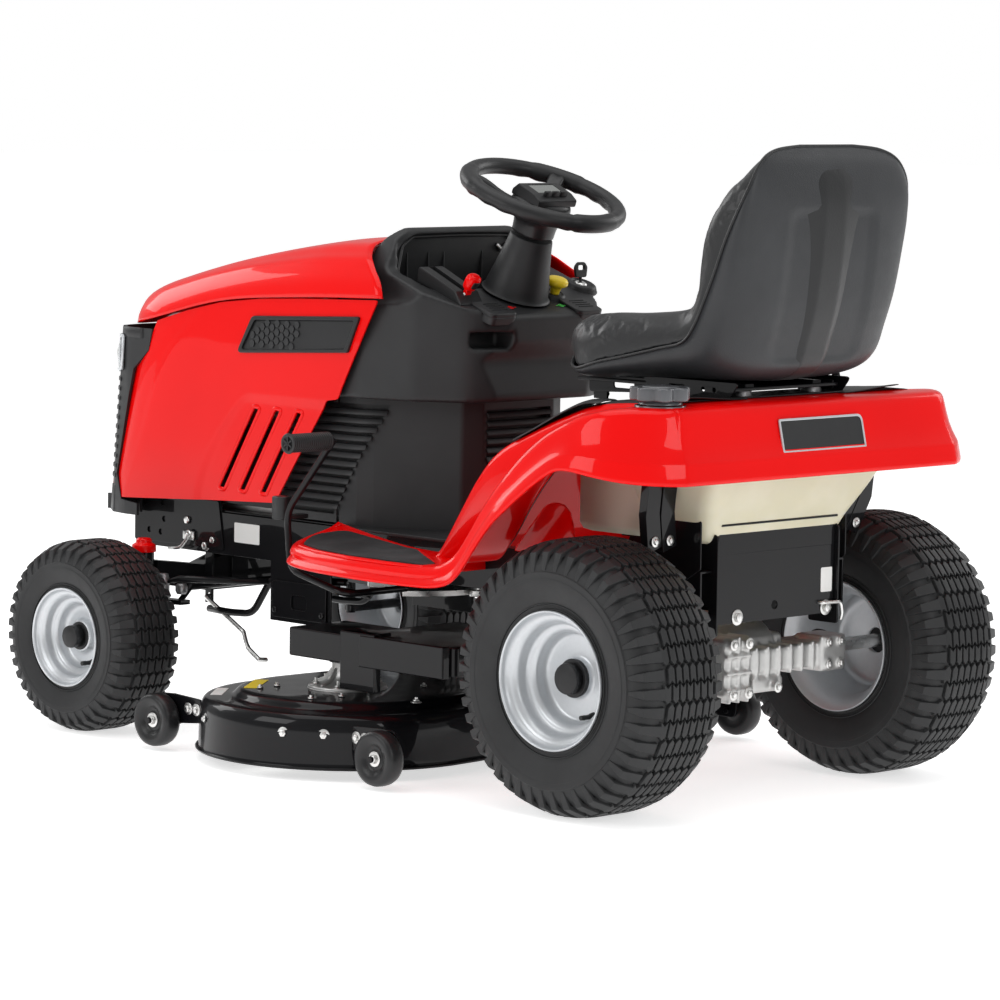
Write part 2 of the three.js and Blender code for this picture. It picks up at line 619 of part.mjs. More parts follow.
function dragLink() {
  const x = KINGPIN.x + LINK_ARM.dx;
  const y = FRONT_Y + LINK_ARM.dy;
  const high = 292;
  return bentRod([
    [x, y, 247 + GAP], [x, y, high], [245, -1120, high], [110, -1040, high - 6],
    [SECTOR_ARM, SECTOR.y - SECTOR_ARM, 272]], 7);
}

// ---------------------------------------------------------------- mowing deck
function lobes(radius, z0, z1, segments = 24) {
  const disc = rod([DECK.x, DECK.y, z0], [DECK.x, DECK.y, z1], radius, segments);
  const bridge = box(-DECK.x, DECK.x, DECK.y - radius * 0.82, DECK.y + radius * 0.9, z0, z1);
  return join(bothSides(disc), bridge);
}

function deckShell() {
  const { sheet, z0, z1 } = DECK;
  const wall = lobes(DECK.r, z0, z1);
  const lip = lobes(DECK.lip, z0, z0 + 4);
  const chamber = lobes(DECK.r - sheet, z0 - 10, z1 - sheet);
  const shaftHole = rod([DECK.x, DECK.y, 80], [DECK.x, DECK.y, 140], 30, 20);
  const outlet = box(-600, -500, CHUTE.y0, CHUTE.y1, CHUTE.z0, CHUTE.z1 - 4);
  const tab = prismX([[-1112, 114], [-1112, 150], [-925, 150], [-925, 112.5]], 136, 140);
  const slot = prismX([[-1098, 122], [-1098, 142], [-1048, 142], [-1048, 122]], 130, 146);
  const brackets = GAUGE.y.map((y) => bothSides(gaugeBracket(y, chamber)));
  return cut(join(wall, lip, cut(tab, slot), ...brackets), chamber, bothSides(shaftHole), outlet);
}

// The plate from the deck's wall to a gauge wheel, with the bolt that the wheel turns on.
function gaugeBracket(y, chamber) {
  const reach = 120;
  const past = 14;
  const plate = y < DECK.y
    ? box(447, 451, y - past, y + reach, 42, 90)
    : box(447, 451, y - reach, y + past, 42, 90);
  const bolt = rod([448, y, GAUGE.z], [GAUGE.x + 25, y, GAUGE.z], 6, 12);
  const head = rod([GAUGE.x + 20.5, y, GAUGE.z], [GAUGE.x + 26, y, GAUGE.z], 10, 6);
  return join(cut(plate, chamber), bolt, head);
}

function spindleHousing() {
  const top = DECK.z1 + GAP;
  return turnedZ([
    [10.5, top], [66, top], [66, top + 9], [40, top + 12], [28, top + 24], [28, 188], [10.5, 188], [10.5, top]],
  DECK.x, DECK.y, 16);
}

function blade() {
  const bar = box(DECK.x - 252, DECK.x + 252, DECK.y - 27, DECK.y + 27, 33, 37);
  const shaft = rod([DECK.x, DECK.y, 28], [DECK.x, DECK.y, 224], 10, 16);
  const nut = rod([DECK.x, DECK.y, 24], [DECK.x, DECK.y, 34], 16, 6);
  const pulley = turnedZ([
    [0, 200], [68, 200], [58, 207], [58, 211], [68, 218], [0, 218]], DECK.x, DECK.y, 16);
  return join(bar, shaft, nut, pulley);
}

function gaugeWheel(x, y) {
  const half = GAUGE.width / 2;
  const outward = Math.sign(x);
  return turnedX([
    [6.5, -half], [36, -half], [GAUGE.r, -half * 0.3], [GAUGE.r, half * 0.3],
    [36, half], [28, half * 0.6], [6.5, half * 0.6], [6.5, -half]],
  x, y, GAUGE.z, outward, 16);
}

function dischargeChute() {
  const { x0, x1, y0, y1, z0, z1 } = CHUTE;
  const roof = box(x1, x0, y0 - 4, y1 + 4, z1 - 3, z1);
  const cheek = [[x0, z1 - 1], [x1, z1 - 1], [x1, z0 + 30], [x0, z0]];
  const fore = prismY(cheek, y0 - 4, y0 - 1);
  const aft = prismY(cheek, y1 + 1, y1 + 4);
  return join(roof, fore, aft);
}

function liftRod() {
  const { x, y, z } = LIFT_ROD;
  return bentRod([
    [x - 18, y, z], [x, y, z], [x, -1130, 178], [x, -1134, 158], [x, -1091, 131.5], [x - 18, -1091, 131.5]], 5);
}

// ---------------------------------------------------------------- seat
function seatPan() {
  const plate = box(-140, 140, -262, 110, 727, 733);
  const ear = prismX([[-256, 692], [-224, 692], [-222, 730], [-258, 730]], 98, 103);
  const pin = rod([84, SEAT_HINGE.y, SEAT_HINGE.z], [100, SEAT_HINGE.y, SEAT_HINGE.z], 6, 14);
  const rail = box(78, 100, -230, 105, 732, 739);
  return join(plate, bothSides(join(ear, pin, rail)));
}

const SEAT_FRONT_VIEW = [
  [-150, 700], [150, 700], [200, 748], [226, 800], [236, 900], [234, 1000], [214, 1070], [184, 1118],
  [126, 1146], [0, 1156], [-126, 1146], [-184, 1118], [-214, 1070], [-234, 1000], [-236, 900], [-226, 800],
  [-200, 748]];

function seatShell() {
  const side = prismX([
    [-290, 770], [-266, 746], [-200, 739.4], [100, 739.4], [163, 756], [192, 860], [214, 1010], [214, 1070],
    [200, 1132], [188, 1156], [176, 1150], [184, 1120], [196, 1060], [194, 1010], [172, 870], [140, 778],
    [90, 754], [-200, 754], [-262, 762]], -260, 260);
  const front = prismY(SEAT_FRONT_VIEW, -460, 260);
  return common(side, front);
}

function seatCushion() {
  const side = prismX([
    [-284, 790], [-302, 800], [-298, 824], [-265, 840], [-180, 846], [-60, 843], [30, 852], [74, 890],
    [92, 980], [116, 1050], [146, 1110], [172, 1147], [183, 1118], [195, 1059], [193, 1010], [171, 871],
    [139, 779], [89, 755], [-200, 755], [-263, 763]], -260, 260);
  const front = prismY(SEAT_FRONT_VIEW, -460, 260);
  const plan = prismZ([
    [-130, -310], [130, -310], [196, -272], [226, -210], [240, -60], [250, 260], [-250, 260], [-240, -60],
    [-226, -210], [-196, -272]],
  700, 1200);
  return common(side, front, plan);
}

// ---------------------------------------------------------------- controls
function brakePedal() {
  const x = 345;
  const arm = bentRod([
    [RAIL.x + 1, -643, 318], [x, -643, 318], [x, -792, 350], [x, -803, 456], [x, -686, 590],
    [x, -680, 597], [x + 104, -680, 597]], 7);
  const grip = rod([x + 10, -680, 597], [x + 112, -680, 597], 17, 14);
  return join(arm, grip);
}

function drivePedal() {
  const x = -350;
  const stem = bentRod([[-RAIL.x - 1, -560, 350], [x, -560, 350], [x, -566, 432]], 8);
  const side = [[-690, 470], [-686, 480], [-566, 440], [-446, 480], [-442, 470], [-566, 428]];
  const plate = prismX(side, x - 40, x + 40);
  return join(stem, plate);
}

function liftLever() {
  const arm = bentRod([[-251, -30, 520], [-384, -30, 520], [-384, -98, 700], [-384, -140, 850]], 8);
  const grip = rod([-384, -131, 820], [-384, -163, 935], 16, 14);
  return join(arm, grip);
}

function throttleLever() {
  const stem = rod([150, -545, 860], [150, -530, 885], 5, 10);
  const knob = prismX([[-545, 882], [-520, 876], [-508, 906], [-520, 916], [-534, 912]], 139, 161);
  return join(stem, knob);
}

function ptoKnob() {
  const foot = [-85, -545, 856];
  const stem = rod(foot, [foot[0], foot[1] + 8, foot[2] + 24], 7, 12);
  const head = rod([foot[0], foot[1] + 7, foot[2] + 20], [foot[0], foot[1] + 11, foot[2] + 32], 19, 18);
  return join(stem, head);
}

function ignitionKey() {
  const stem = rod([-198, -592, 876], [-198, -590, 890], 3.5, 10);
  const front = [[-212, 888], [-184, 888], [-182, 912], [-190, 920], [-206, 920], [-214, 912]];
  const bow = prismY(front, -592.5, -588.5);
  return join(stem, bow);
}

// Tabs lie on the rear lip of the dash, whose top face is square to the steering axis.
function dashTab(x0, x1) {
  const lift = (y) => STEER.z + (-COLUMN.base - steerAxis.y * (y - STEER.y)) / steerAxis.z;
  return prismX([
    [-522, lift(-522) + 1], [-522, lift(-522) + 7], [-466, lift(-466) + 7], [-466, lift(-466) + 1]], x0, x1);
}

function fuelCap() {
  const { x, y, z, r } = CAP;
  return turnedZ([
    [0, z], [r - 20, z], [r - 16, z + 4], [r, z + 8], [r, z + 24], [r - 8, z + 31], [0, z + 31]], x, y, 20);
}

// ---------------------------------------------------------------- assembly
addPair('frame_rail', frameRail(), blackPaint);
add('frame_front_member', frontMember(), blackPaint);
add('rear_hitch_plate', rearPlate(), blackPaint);
add('engine_block', engine(), casting);
add('muffler', muffler(), zinc);
add('battery', battery(), plastic);
add('hood_top', hoodTop(), paint);
addPair('hood_side', hoodSide(), paint);
add('grille', grille(), plastic);
add('dash_housing', dashHousing(), plastic);
add('dash_tray', dashTray(), plastic);
add('lower_cowl', lowerCowl(), plastic);
add('column_cover', columnCover(), plastic);

const fender = fenderSolid();
add('fender_body', fenderBody(fender), paint);
add('fender_console', fenderConsole(fender), plastic);
add('fuel_tank', fuelTank(), tankPlastic);
add('transaxle', transaxle(), casting);

const corners = [
  ['rear_left', REAR_WHEEL, 1, 0], ['rear_right', REAR_WHEEL, -1, 0],
  ['front_left', FRONT_WHEEL, 1, FRONT_Y], ['front_right', FRONT_WHEEL, -1, FRONT_Y]];
for (const [name, wheel, side, y] of corners) {
  add(`tyre_${name}`, tyre(wheel, side * wheel.x, y, wheel.z, side), rubber);
  add(`rim_${name}`, rim(wheel, side * wheel.x, y, wheel.z, side), wheelPaint);
}
addPair('axle_shaft', axleShaft(), zinc);

add('steering_wheel', steeringWheel(), rubber);
add('steering_shaft', steeringShaft(), zinc);
add('sector_gear', sectorGear(), zinc);
add('front_axle', frontAxle(), blackPaint);
add('spindle_left', frontSpindle(true), blackPaint);
add('spindle_right', mirrored(frontSpindle(false)), blackPaint);
add('tie_rod', tieRod(), blackPaint);
add('drag_link', dragLink(), blackPaint);

add('deck_shell', deckShell(), blackPaint);
addPair('spindle_housing', spindleHousing(), casting);
addPair('blade', blade(), zinc);
for (const [end, y] of [['front', GAUGE.y[0]], ['rear', GAUGE.y[1]]]) {
  add(`gauge_wheel_${end}_left`, gaugeWheel(GAUGE.x, y), rubber);
  add(`gauge_wheel_${end}_right`, gaugeWheel(-GAUGE.x, y), rubber);
}
add('discharge_chute', dischargeChute(), plastic);
add('front_lift_rod', liftRod(), zinc);

add('seat_pan', seatPan(), blackPaint);
add('seat_shell', seatShell(), plastic);
add('seat_cushion', seatCushion(), vinyl);

add('brake_pedal', brakePedal(), blackPaint);
add('drive_pedal', drivePedal(), rubber);
add('lift_lever', liftLever(), blackPaint);
add('throttle_lever', throttleLever(), paint);
add('pto_knob', ptoKnob(), yellow);
add('ignition_key', ignitionKey(), plastic);
add('park_brake_tab', dashTab(92, 148), plastic);
add('cruise_tab', dashTab(-148, -92), plastic);
add('fuel_cap', fuelCap(), plastic);

const footprint = new THREE.Box3().setFromObject(model);
const centre = footprint.getCenter(new THREE.Vector3());
model.position.set(-centre.x, -centre.y, -footprint.min.z);

export default model;
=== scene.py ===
"""Riding lawn mower: the looks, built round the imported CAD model.

Lengths are in millimetres in the design frame: the machine faces -Y, +X is the operator's left,
+Z is up, and the origin is on the ground below the middle of the rear axle.
"""

import json
import math
import random

import bmesh
import bpy
from mathutils import Matrix, Vector


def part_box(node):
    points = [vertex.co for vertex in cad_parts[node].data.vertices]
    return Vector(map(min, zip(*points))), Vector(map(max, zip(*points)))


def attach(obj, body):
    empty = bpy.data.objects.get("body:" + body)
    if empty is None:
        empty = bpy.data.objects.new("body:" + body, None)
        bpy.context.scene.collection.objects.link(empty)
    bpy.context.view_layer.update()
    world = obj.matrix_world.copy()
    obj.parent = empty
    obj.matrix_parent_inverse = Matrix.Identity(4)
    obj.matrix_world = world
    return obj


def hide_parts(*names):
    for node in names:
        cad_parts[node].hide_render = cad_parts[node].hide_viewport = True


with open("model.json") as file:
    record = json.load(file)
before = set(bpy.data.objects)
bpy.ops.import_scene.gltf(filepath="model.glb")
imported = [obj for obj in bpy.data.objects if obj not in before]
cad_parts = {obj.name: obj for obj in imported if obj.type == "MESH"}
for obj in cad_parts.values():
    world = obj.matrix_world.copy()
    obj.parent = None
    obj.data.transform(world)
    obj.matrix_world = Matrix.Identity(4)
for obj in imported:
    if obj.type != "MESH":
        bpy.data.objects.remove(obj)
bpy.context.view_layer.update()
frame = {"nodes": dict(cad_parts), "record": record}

MM = 0.001
LEFT, RIGHT = 1, -1
SIDES = (("left", LEFT), ("right", RIGHT))


def middle_of(node):
    """Centre of a CAD node's box, in metres in the row frame."""
    low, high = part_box(node)
    return (low + high) / 2


REAR_AXLE = (middle_of("tyre_rear_left") + middle_of("tyre_rear_right")) / 2
ORIGIN = Vector((REAR_AXLE.x, REAR_AXLE.y, 0))
TO_ROW = Matrix.Translation(ORIGIN) @ Matrix.Scale(MM, 4)


def node_centre(node):
    """Centre of a CAD node's box, in design millimetres."""
    return (middle_of(node) - ORIGIN) / MM


# ------------------------------------------------------------------ shapes: (points, faces)
def merged(*shapes):
    points, faces = [], []
    for more_points, more_faces in shapes:
        start = len(points)
        points.extend(more_points)
        faces.extend(tuple(start + i for i in face) for face in more_faces)
    return points, faces


def turned(shape, matrix):
    points, faces = shape
    return [matrix @ Vector(p) for p in points], faces


def moved(shape, x=0.0, y=0.0, z=0.0):
    return turned(shape, Matrix.Translation((x, y, z)))


def mirrored(shape):
    points, faces = shape
    return [Vector((-p[0], p[1], p[2])) for p in points], [tuple(reversed(face)) for face in faces]


def both(shape):
    return merged(shape, mirrored(shape))


def sided(shape, side):
    return shape if side > 0 else mirrored(shape)


def grid(rows, loop_rows=False, loop_points=False):
    """A surface through rows of points; loop_rows joins the last row to the first."""
    wide = len(rows[0])
    points = [p for row in rows for p in row]
    faces = []
    for i in range(len(rows) if loop_rows else len(rows) - 1):
        for j in range(wide if loop_points else wide - 1):
            a, b = i * wide + j, i * wide + (j + 1) % wide
            c, d = (i + 1) % len(rows) * wide + (j + 1) % wide, (i + 1) % len(rows) * wide + j
            faces.append((a, b, c, d))
    return points, faces


def capped(rows):
    """A grid of closed rings with its two ends filled."""
    points, faces = grid(rows, loop_points=True)
    wide = len(rows[0])
    faces.append(tuple(reversed(range(wide))))
    faces.append(tuple(len(points) - wide + j for j in range(wide)))
    return points, faces


def smooth_path(stops, per_span=6):
    """Catmull-Rom curve through stops, each a tuple of any number of values."""
    last = len(stops) - 1
    path = []
    for i in range(last):
        four = [stops[max(0, min(last, i + k))] for k in (-1, 0, 1, 2)]
        for step in range(per_span):
            t = step / per_span
            path.append(tuple(
                0.5 * (2 * b + (c - a) * t + (2 * a - 5 * b + 4 * c - d) * t * t
                       + (3 * b - a - 3 * c + d) * t ** 3)
                for a, b, c, d in zip(*four)))
    path.append(tuple(float(value) for value in stops[-1]))
    return path


def bend(start, corner, end, steps):
    """Points round a corner, from start to end."""
    return [start * (1 - t) ** 2 + corner * 2 * t * (1 - t) + end * t * t
            for t in (k / steps for k in range(steps + 1))]


def rounded(points, radius, steps=5):
    """A flat outline with its corners rounded; a point may carry its own radius as a third value."""
    made = []
    for i, here in enumerate(points):
        own = here[2] if len(here) > 2 else radius
        corner = Vector(here[:2])
        back = Vector(points[i - 1][:2]) - corner
        ahead = Vector(points[(i + 1) % len(points)][:2]) - corner
        half = max(0.05, back.angle(ahead) / 2)
        reach = min(own / math.tan(half), back.length * 0.49, ahead.length * 0.49)
        start, end = corner + back.normalized() * reach, corner + ahead.normalized() * reach
        if reach < 0.05:
            made.append(tuple(corner))
        else:
            made += [tuple(p) for p in bend(start, corner, end, steps)]
    return made


def box_line(low_a, high_a, low_b, high_b, radius):
    """Outline of a rectangle with rounded corners."""
    return rounded([(low_a, low_b), (high_a, low_b), (high_a, high_b), (low_a, high_b)], radius)


def oval(wide, high=None, count=8):
    """Points round an ellipse, or round a circle when only one radius is given."""
    high = wide if high is None else high
    return [(wide * math.cos(a), high * math.sin(a)) for a in (2 * math.pi * k / count for k in range(count))]


def outward(outline, k):
    """Unit vector out of a closed flat outline at its k-th point."""
    way = (Vector(outline[(k + 1) % len(outline)]) - Vector(outline[k - 1])).normalized()
    return Vector((way.y, -way.x))


AXES = {
    "x": Matrix(((0, 0, 1, 0), (1, 0, 0, 0), (0, 1, 0, 0), (0, 0, 0, 1))),
    "y": Matrix(((1, 0, 0, 0), (0, 0, -1, 0), (0, 1, 0, 0), (0, 0, 0, 1))),
    "z": Matrix.Identity(4),
}


def plate(outlines, axis, low, high, bevel=0.8):
    """Flat outlines, the first the edge and the others holes, pushed from low to high along an axis.
    Outlines are (y, z) for x, (x, z) for y and (x, y) for z."""
    curve = bpy.data.curves.new("outline", "CURVE")
    curve.dimensions = "2D"
    curve.fill_mode = "BOTH"
    curve.extrude = max(0.01, (high - low) / 2 - bevel)
    curve.bevel_depth = bevel
    curve.bevel_resolution = 1
    curve.offset = -bevel
    for outline in outlines:
        spline = curve.splines.new("POLY")
        spline.points.add(len(outline) - 1)
        spline.use_cyclic_u = True
        for point, spot in zip(spline.points, outline):
            point.co = (spot[0], spot[1], 0, 1)
    holder = bpy.data.objects.new("outline", curve)
    mesh = bpy.data.meshes.new_from_object(holder)
    points = [v.co.copy() for v in mesh.vertices]
    faces = [tuple(face.vertices) for face in mesh.polygons]
    bpy.data.objects.remove(holder)
    bpy.data.curves.remove(curve)
    bpy.data.meshes.remove(mesh)
    half = (low + high) / 2
    if axis == "y":
        half = -half
    return turned((points, faces), AXES[axis] @ Matrix.Translation((0, 0, half)))


def block(x0, x1, y0, y1, z0, z1, bevel=1.5):
    return plate([[(x0, y0), (x1, y0), (x1, y1), (x0, y1)]], "z", z0, z1, bevel)


def aim(direction):
    """Rotation that takes +Z to a direction."""
    return Vector(direction).normalized().to_track_quat("Z", "Y").to_matrix().to_4x4()


def lathe(profile, centre, direction, count=48, closed=False):
    """(radius, along) profile turned round a direction through centre. A closed profile makes a ring."""
    rows = []
    for i in range(count):
        angle = 2 * math.pi * i / count
        rows.append([Vector((r * math.cos(angle), r * math.sin(angle), z)) for r, z in profile])
    points, faces = grid(rows, loop_rows=True, loop_points=closed)
    if not closed:
        wide = len(profile)
        faces.append(tuple(i * wide for i in range(count)))
        faces.append(tuple(reversed([i * wide + wide - 1 for i in range(count)])))
    return turned((points, faces), Matrix.Translation(centre) @ aim(direction))


def bar(start, end, radius, end_radius=None, count=24):
    """A round bar with its end edges broken."""
    last = radius if end_radius is None else end_radius
    length = (Vector(end) - Vector(start)).length
    edge = min(radius, last) * 0.12
    profile = [(radius - edge, 0), (radius, edge), (last, length - edge), (last - edge, length)]
    return lathe(profile, start, Vector(end) - Vector(start), count)


def tube(stops, radius, bend_radius=18.0, sides=14):
    """A round rod along straight runs with rounded bends."""
    at = [Vector(p) for p in stops]
    path = [at[0]]
    for i in range(1, len(at) - 1):
        back, ahead = at[i - 1] - at[i], at[i + 1] - at[i]
        reach = min(bend_radius, back.length * 0.45, ahead.length * 0.45)
        path += bend(at[i] + back.normalized() * reach, at[i], at[i] + ahead.normalized() * reach, 5)
    path.append(at[-1])
    return sweep(path, oval(radius, count=sides))


def sweep(path, section):
    """A closed section carried along a path without twisting."""
    path = [Vector(p) for p in path]
    rows = []
    side = None
    for i, here in enumerate(path):
        ahead = (path[min(i + 1, len(path) - 1)] - path[max(i - 1, 0)]).normalized()
        if side is None:
            first = ahead.cross(Vector((0, 0, 1)))
            side = first if first.length > 0.05 else ahead.cross(Vector((1, 0, 0)))
        side = (side - ahead * side.dot(ahead)).normalized()
        top = side.cross(ahead)
        rows.append([here + side * u + top * v for u, v in section])
    return capped(rows)


def bolt(centre, direction, across=13.0, washer=True, shank=0.0):
    """A hexagon head with a washer under it, standing out along direction."""
    radius = across / 2 / math.cos(math.pi / 6)
    high = across * 0.5
    head = lathe([(radius, 1.6), (radius, high - 1), (radius * 0.88, high + 0.6), (radius * 0.3, high + 0.6)],
                 centre, direction, 6)
    made = [head]
    if washer:
        made.append(lathe([(across * 0.9, 0), (across * 0.95, 0.6), (across * 0.9, 1.8), (across * 0.4, 1.8)],
                          centre, direction, 24))
    if shank:
        made.append(bar(centre, Vector(centre) + Vector(direction).normalized() * shank, across * 0.28,
                        count=12))
    return merged(*made)


# ------------------------------------------------------------------ pieces
def mesh_from(name, shape):
    points, faces = shape
    mesh = bpy.data.meshes.new(name)
    mesh.from_pydata([TO_ROW @ Vector(p) for p in points], [], faces)
    mesh.validate()
    edit = bmesh.new()
    edit.from_mesh(mesh)
    bmesh.ops.remove_doubles(edit, verts=edit.verts, dist=0.02 * MM)
    bmesh.ops.recalc_face_normals(edit, faces=edit.faces)
    edit.to_mesh(mesh)
    edit.free()
    for face in mesh.polygons:
        face.use_smooth = True
    return mesh


def add_modifiers(item, sheet=0.0, bevel=0.0, rounds=0, crisp=True):
    if sheet:
        skin = item.modifiers.new("sheet", "SOLIDIFY")
        skin.thickness = sheet * MM
        skin.offset = -1
    if bevel:
        edge = item.modifiers.new("edges", "BEVEL")
        edge.width = bevel * MM
        edge.segments = 2
        edge.limit_method = "ANGLE"
        edge.angle_limit = math.radians(32)
    if rounds:
        item.modifiers.new("rounds", "SUBSURF").levels = rounds
        item.modifiers["rounds"].render_levels = rounds
    if crisp:
        item.modifiers.new("normals", "WEIGHTED_NORMAL")


def piece(name, shape, body, look, slot, replaces=(), sheet=0.0, bevel=0.0, rounds=0, crisp=True):
    item = bpy.data.objects.new(name, mesh_from(name, shape))
    bpy.context.scene.collection.objects.link(item)
    item.data.materials.append(look)
    add_modifiers(item, sheet, bevel, rounds, crisp)
    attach(item, body)
    if replaces:
        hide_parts(*replaces)
    return item


# ------------------------------------------------------------------ materials
class Look:
    """Builds one node material; each method adds a layer and returns the look itself."""

    def __init__(self, name, colour, roughness, metallic=0.0, **extra):
        self.material = bpy.data.materials.new(name)
        self.material.use_nodes = True
        self.tree = self.material.node_tree
        self.shader = self.tree.nodes["Principled BSDF"]
        self.colour = colour
        self.height = None
        self.put("Base Color", (*colour, 1))
        self.put("Roughness", roughness)
        self.put("Metallic", metallic)
        for socket, value in extra.items():
            self.put(socket.replace("_", " "), value)
        place = self.tree.nodes.new("ShaderNodeTexCoord")
        self.place = place.outputs["Object"]

    def put(self, socket, value):
        self.shader.inputs[socket].default_value = value

    def node(self, kind, **inputs):
        made = self.tree.nodes.new(kind)
        for socket, value in inputs.items():
            made.inputs[socket.replace("_", " ")].default_value = value
        return made

    def link(self, out, into):
        self.tree.links.new(out, into)

    def noise(self, size, detail=3.0):
        """Fractal noise whose features are about size millimetres."""
        made = self.node("ShaderNodeTexNoise", Scale=1 / (size * MM), Detail=detail)
        self.link(self.place, made.inputs["Vector"])
        return made.outputs["Fac"]

    def cells(self, size, feature="F1"):
        """Rounded cells about size millimetres wide."""
        made = self.node("ShaderNodeTexVoronoi", Scale=1 / (size * MM))
        made.feature = feature
        self.link(self.place, made.inputs["Vector"])
        return made.outputs["Distance"]

    def ranged(self, value, low, high, start=0.0, end=1.0):
        made = self.node("ShaderNodeMapRange", From_Min=start, From_Max=end, To_Min=low, To_Max=high)
        self.link(value, made.inputs["Value"])
        return made.outputs["Result"]

    def tint(self, value, other, start=0.3, end=0.7):
        """Mixes the base colour towards another where value is high."""
        mix = self.tree.nodes.new("ShaderNodeMix")
        mix.data_type = "RGBA"
        mix.inputs["A"].default_value = (*self.colour, 1)
        mix.inputs["B"].default_value = (*other, 1)
        old = self.shader.inputs["Base Color"].links
        if old:
            self.link(old[0].from_socket, mix.inputs["A"])
        self.link(self.ranged(value, 0, 1, start, end), mix.inputs["Factor"])
        self.link(mix.outputs["Result"], self.shader.inputs["Base Color"])
        return self

    def polish(self, value, low, high):
        """Roughness between low and high as value goes from 0 to 1."""
        self.link(self.ranged(value, low, high), self.shader.inputs["Roughness"])
        return self

    def bump(self, value, depth, strength=1.0):
        """Adds relief of about depth millimetres."""
        made = self.node("ShaderNodeBump", Strength=strength, Distance=depth * MM)
        self.link(value, made.inputs["Height"])
        if self.height:
            self.link(self.height, made.inputs["Normal"])
        self.height = made.outputs["Normal"]
        self.link(self.height, self.shader.inputs["Normal"])
        return self

    def worn(self, other):
        """A lighter tone on outside edges."""
        shape = self.tree.nodes.new("ShaderNodeNewGeometry")
        return self.tint(shape.outputs["Pointiness"], other, 0.53, 0.6)


def gloss_paint(name, colour, dark):
    look = Look(name, colour, 0.34, Coat_Weight=0.4, Coat_Roughness=0.025, IOR=1.45, Specular_IOR_Level=0.05)
    look.tint(look.noise(260, 2), dark, 0.45, 0.95)
    look.polish(look.noise(40, 4), 0.26, 0.38)
    return look.bump(look.noise(3.2, 2), 0.012)


def moulded(name, colour, roughness, grain=0.9, depth=0.05, light=None):
    look = Look(name, colour, roughness, Specular_IOR_Level=0.36)
    lighter = light or tuple(min(1, c * 1.3 + 0.002) for c in colour)
    look.tint(look.noise(90, 3), lighter, 0.42, 0.9)
    look.worn(lighter)
    look.polish(look.noise(14, 4), roughness - 0.06, roughness + 0.1)
    return look.bump(look.cells(grain), depth, 0.8)


def metal(name, colour, roughness, size, depth, dull, metallic=1.0):
    look = Look(name, colour, roughness, metallic)
    soft_dull = tuple(c + (d - c) * 0.35 for c, d in zip(colour, dull))
    look.tint(look.noise(size * 9, 4), soft_dull, 0.35, 0.8)
    look.polish(look.noise(size * 3, 4), roughness - 0.1, roughness + 0.16)
    return look.bump(look.noise(size, 3), depth)


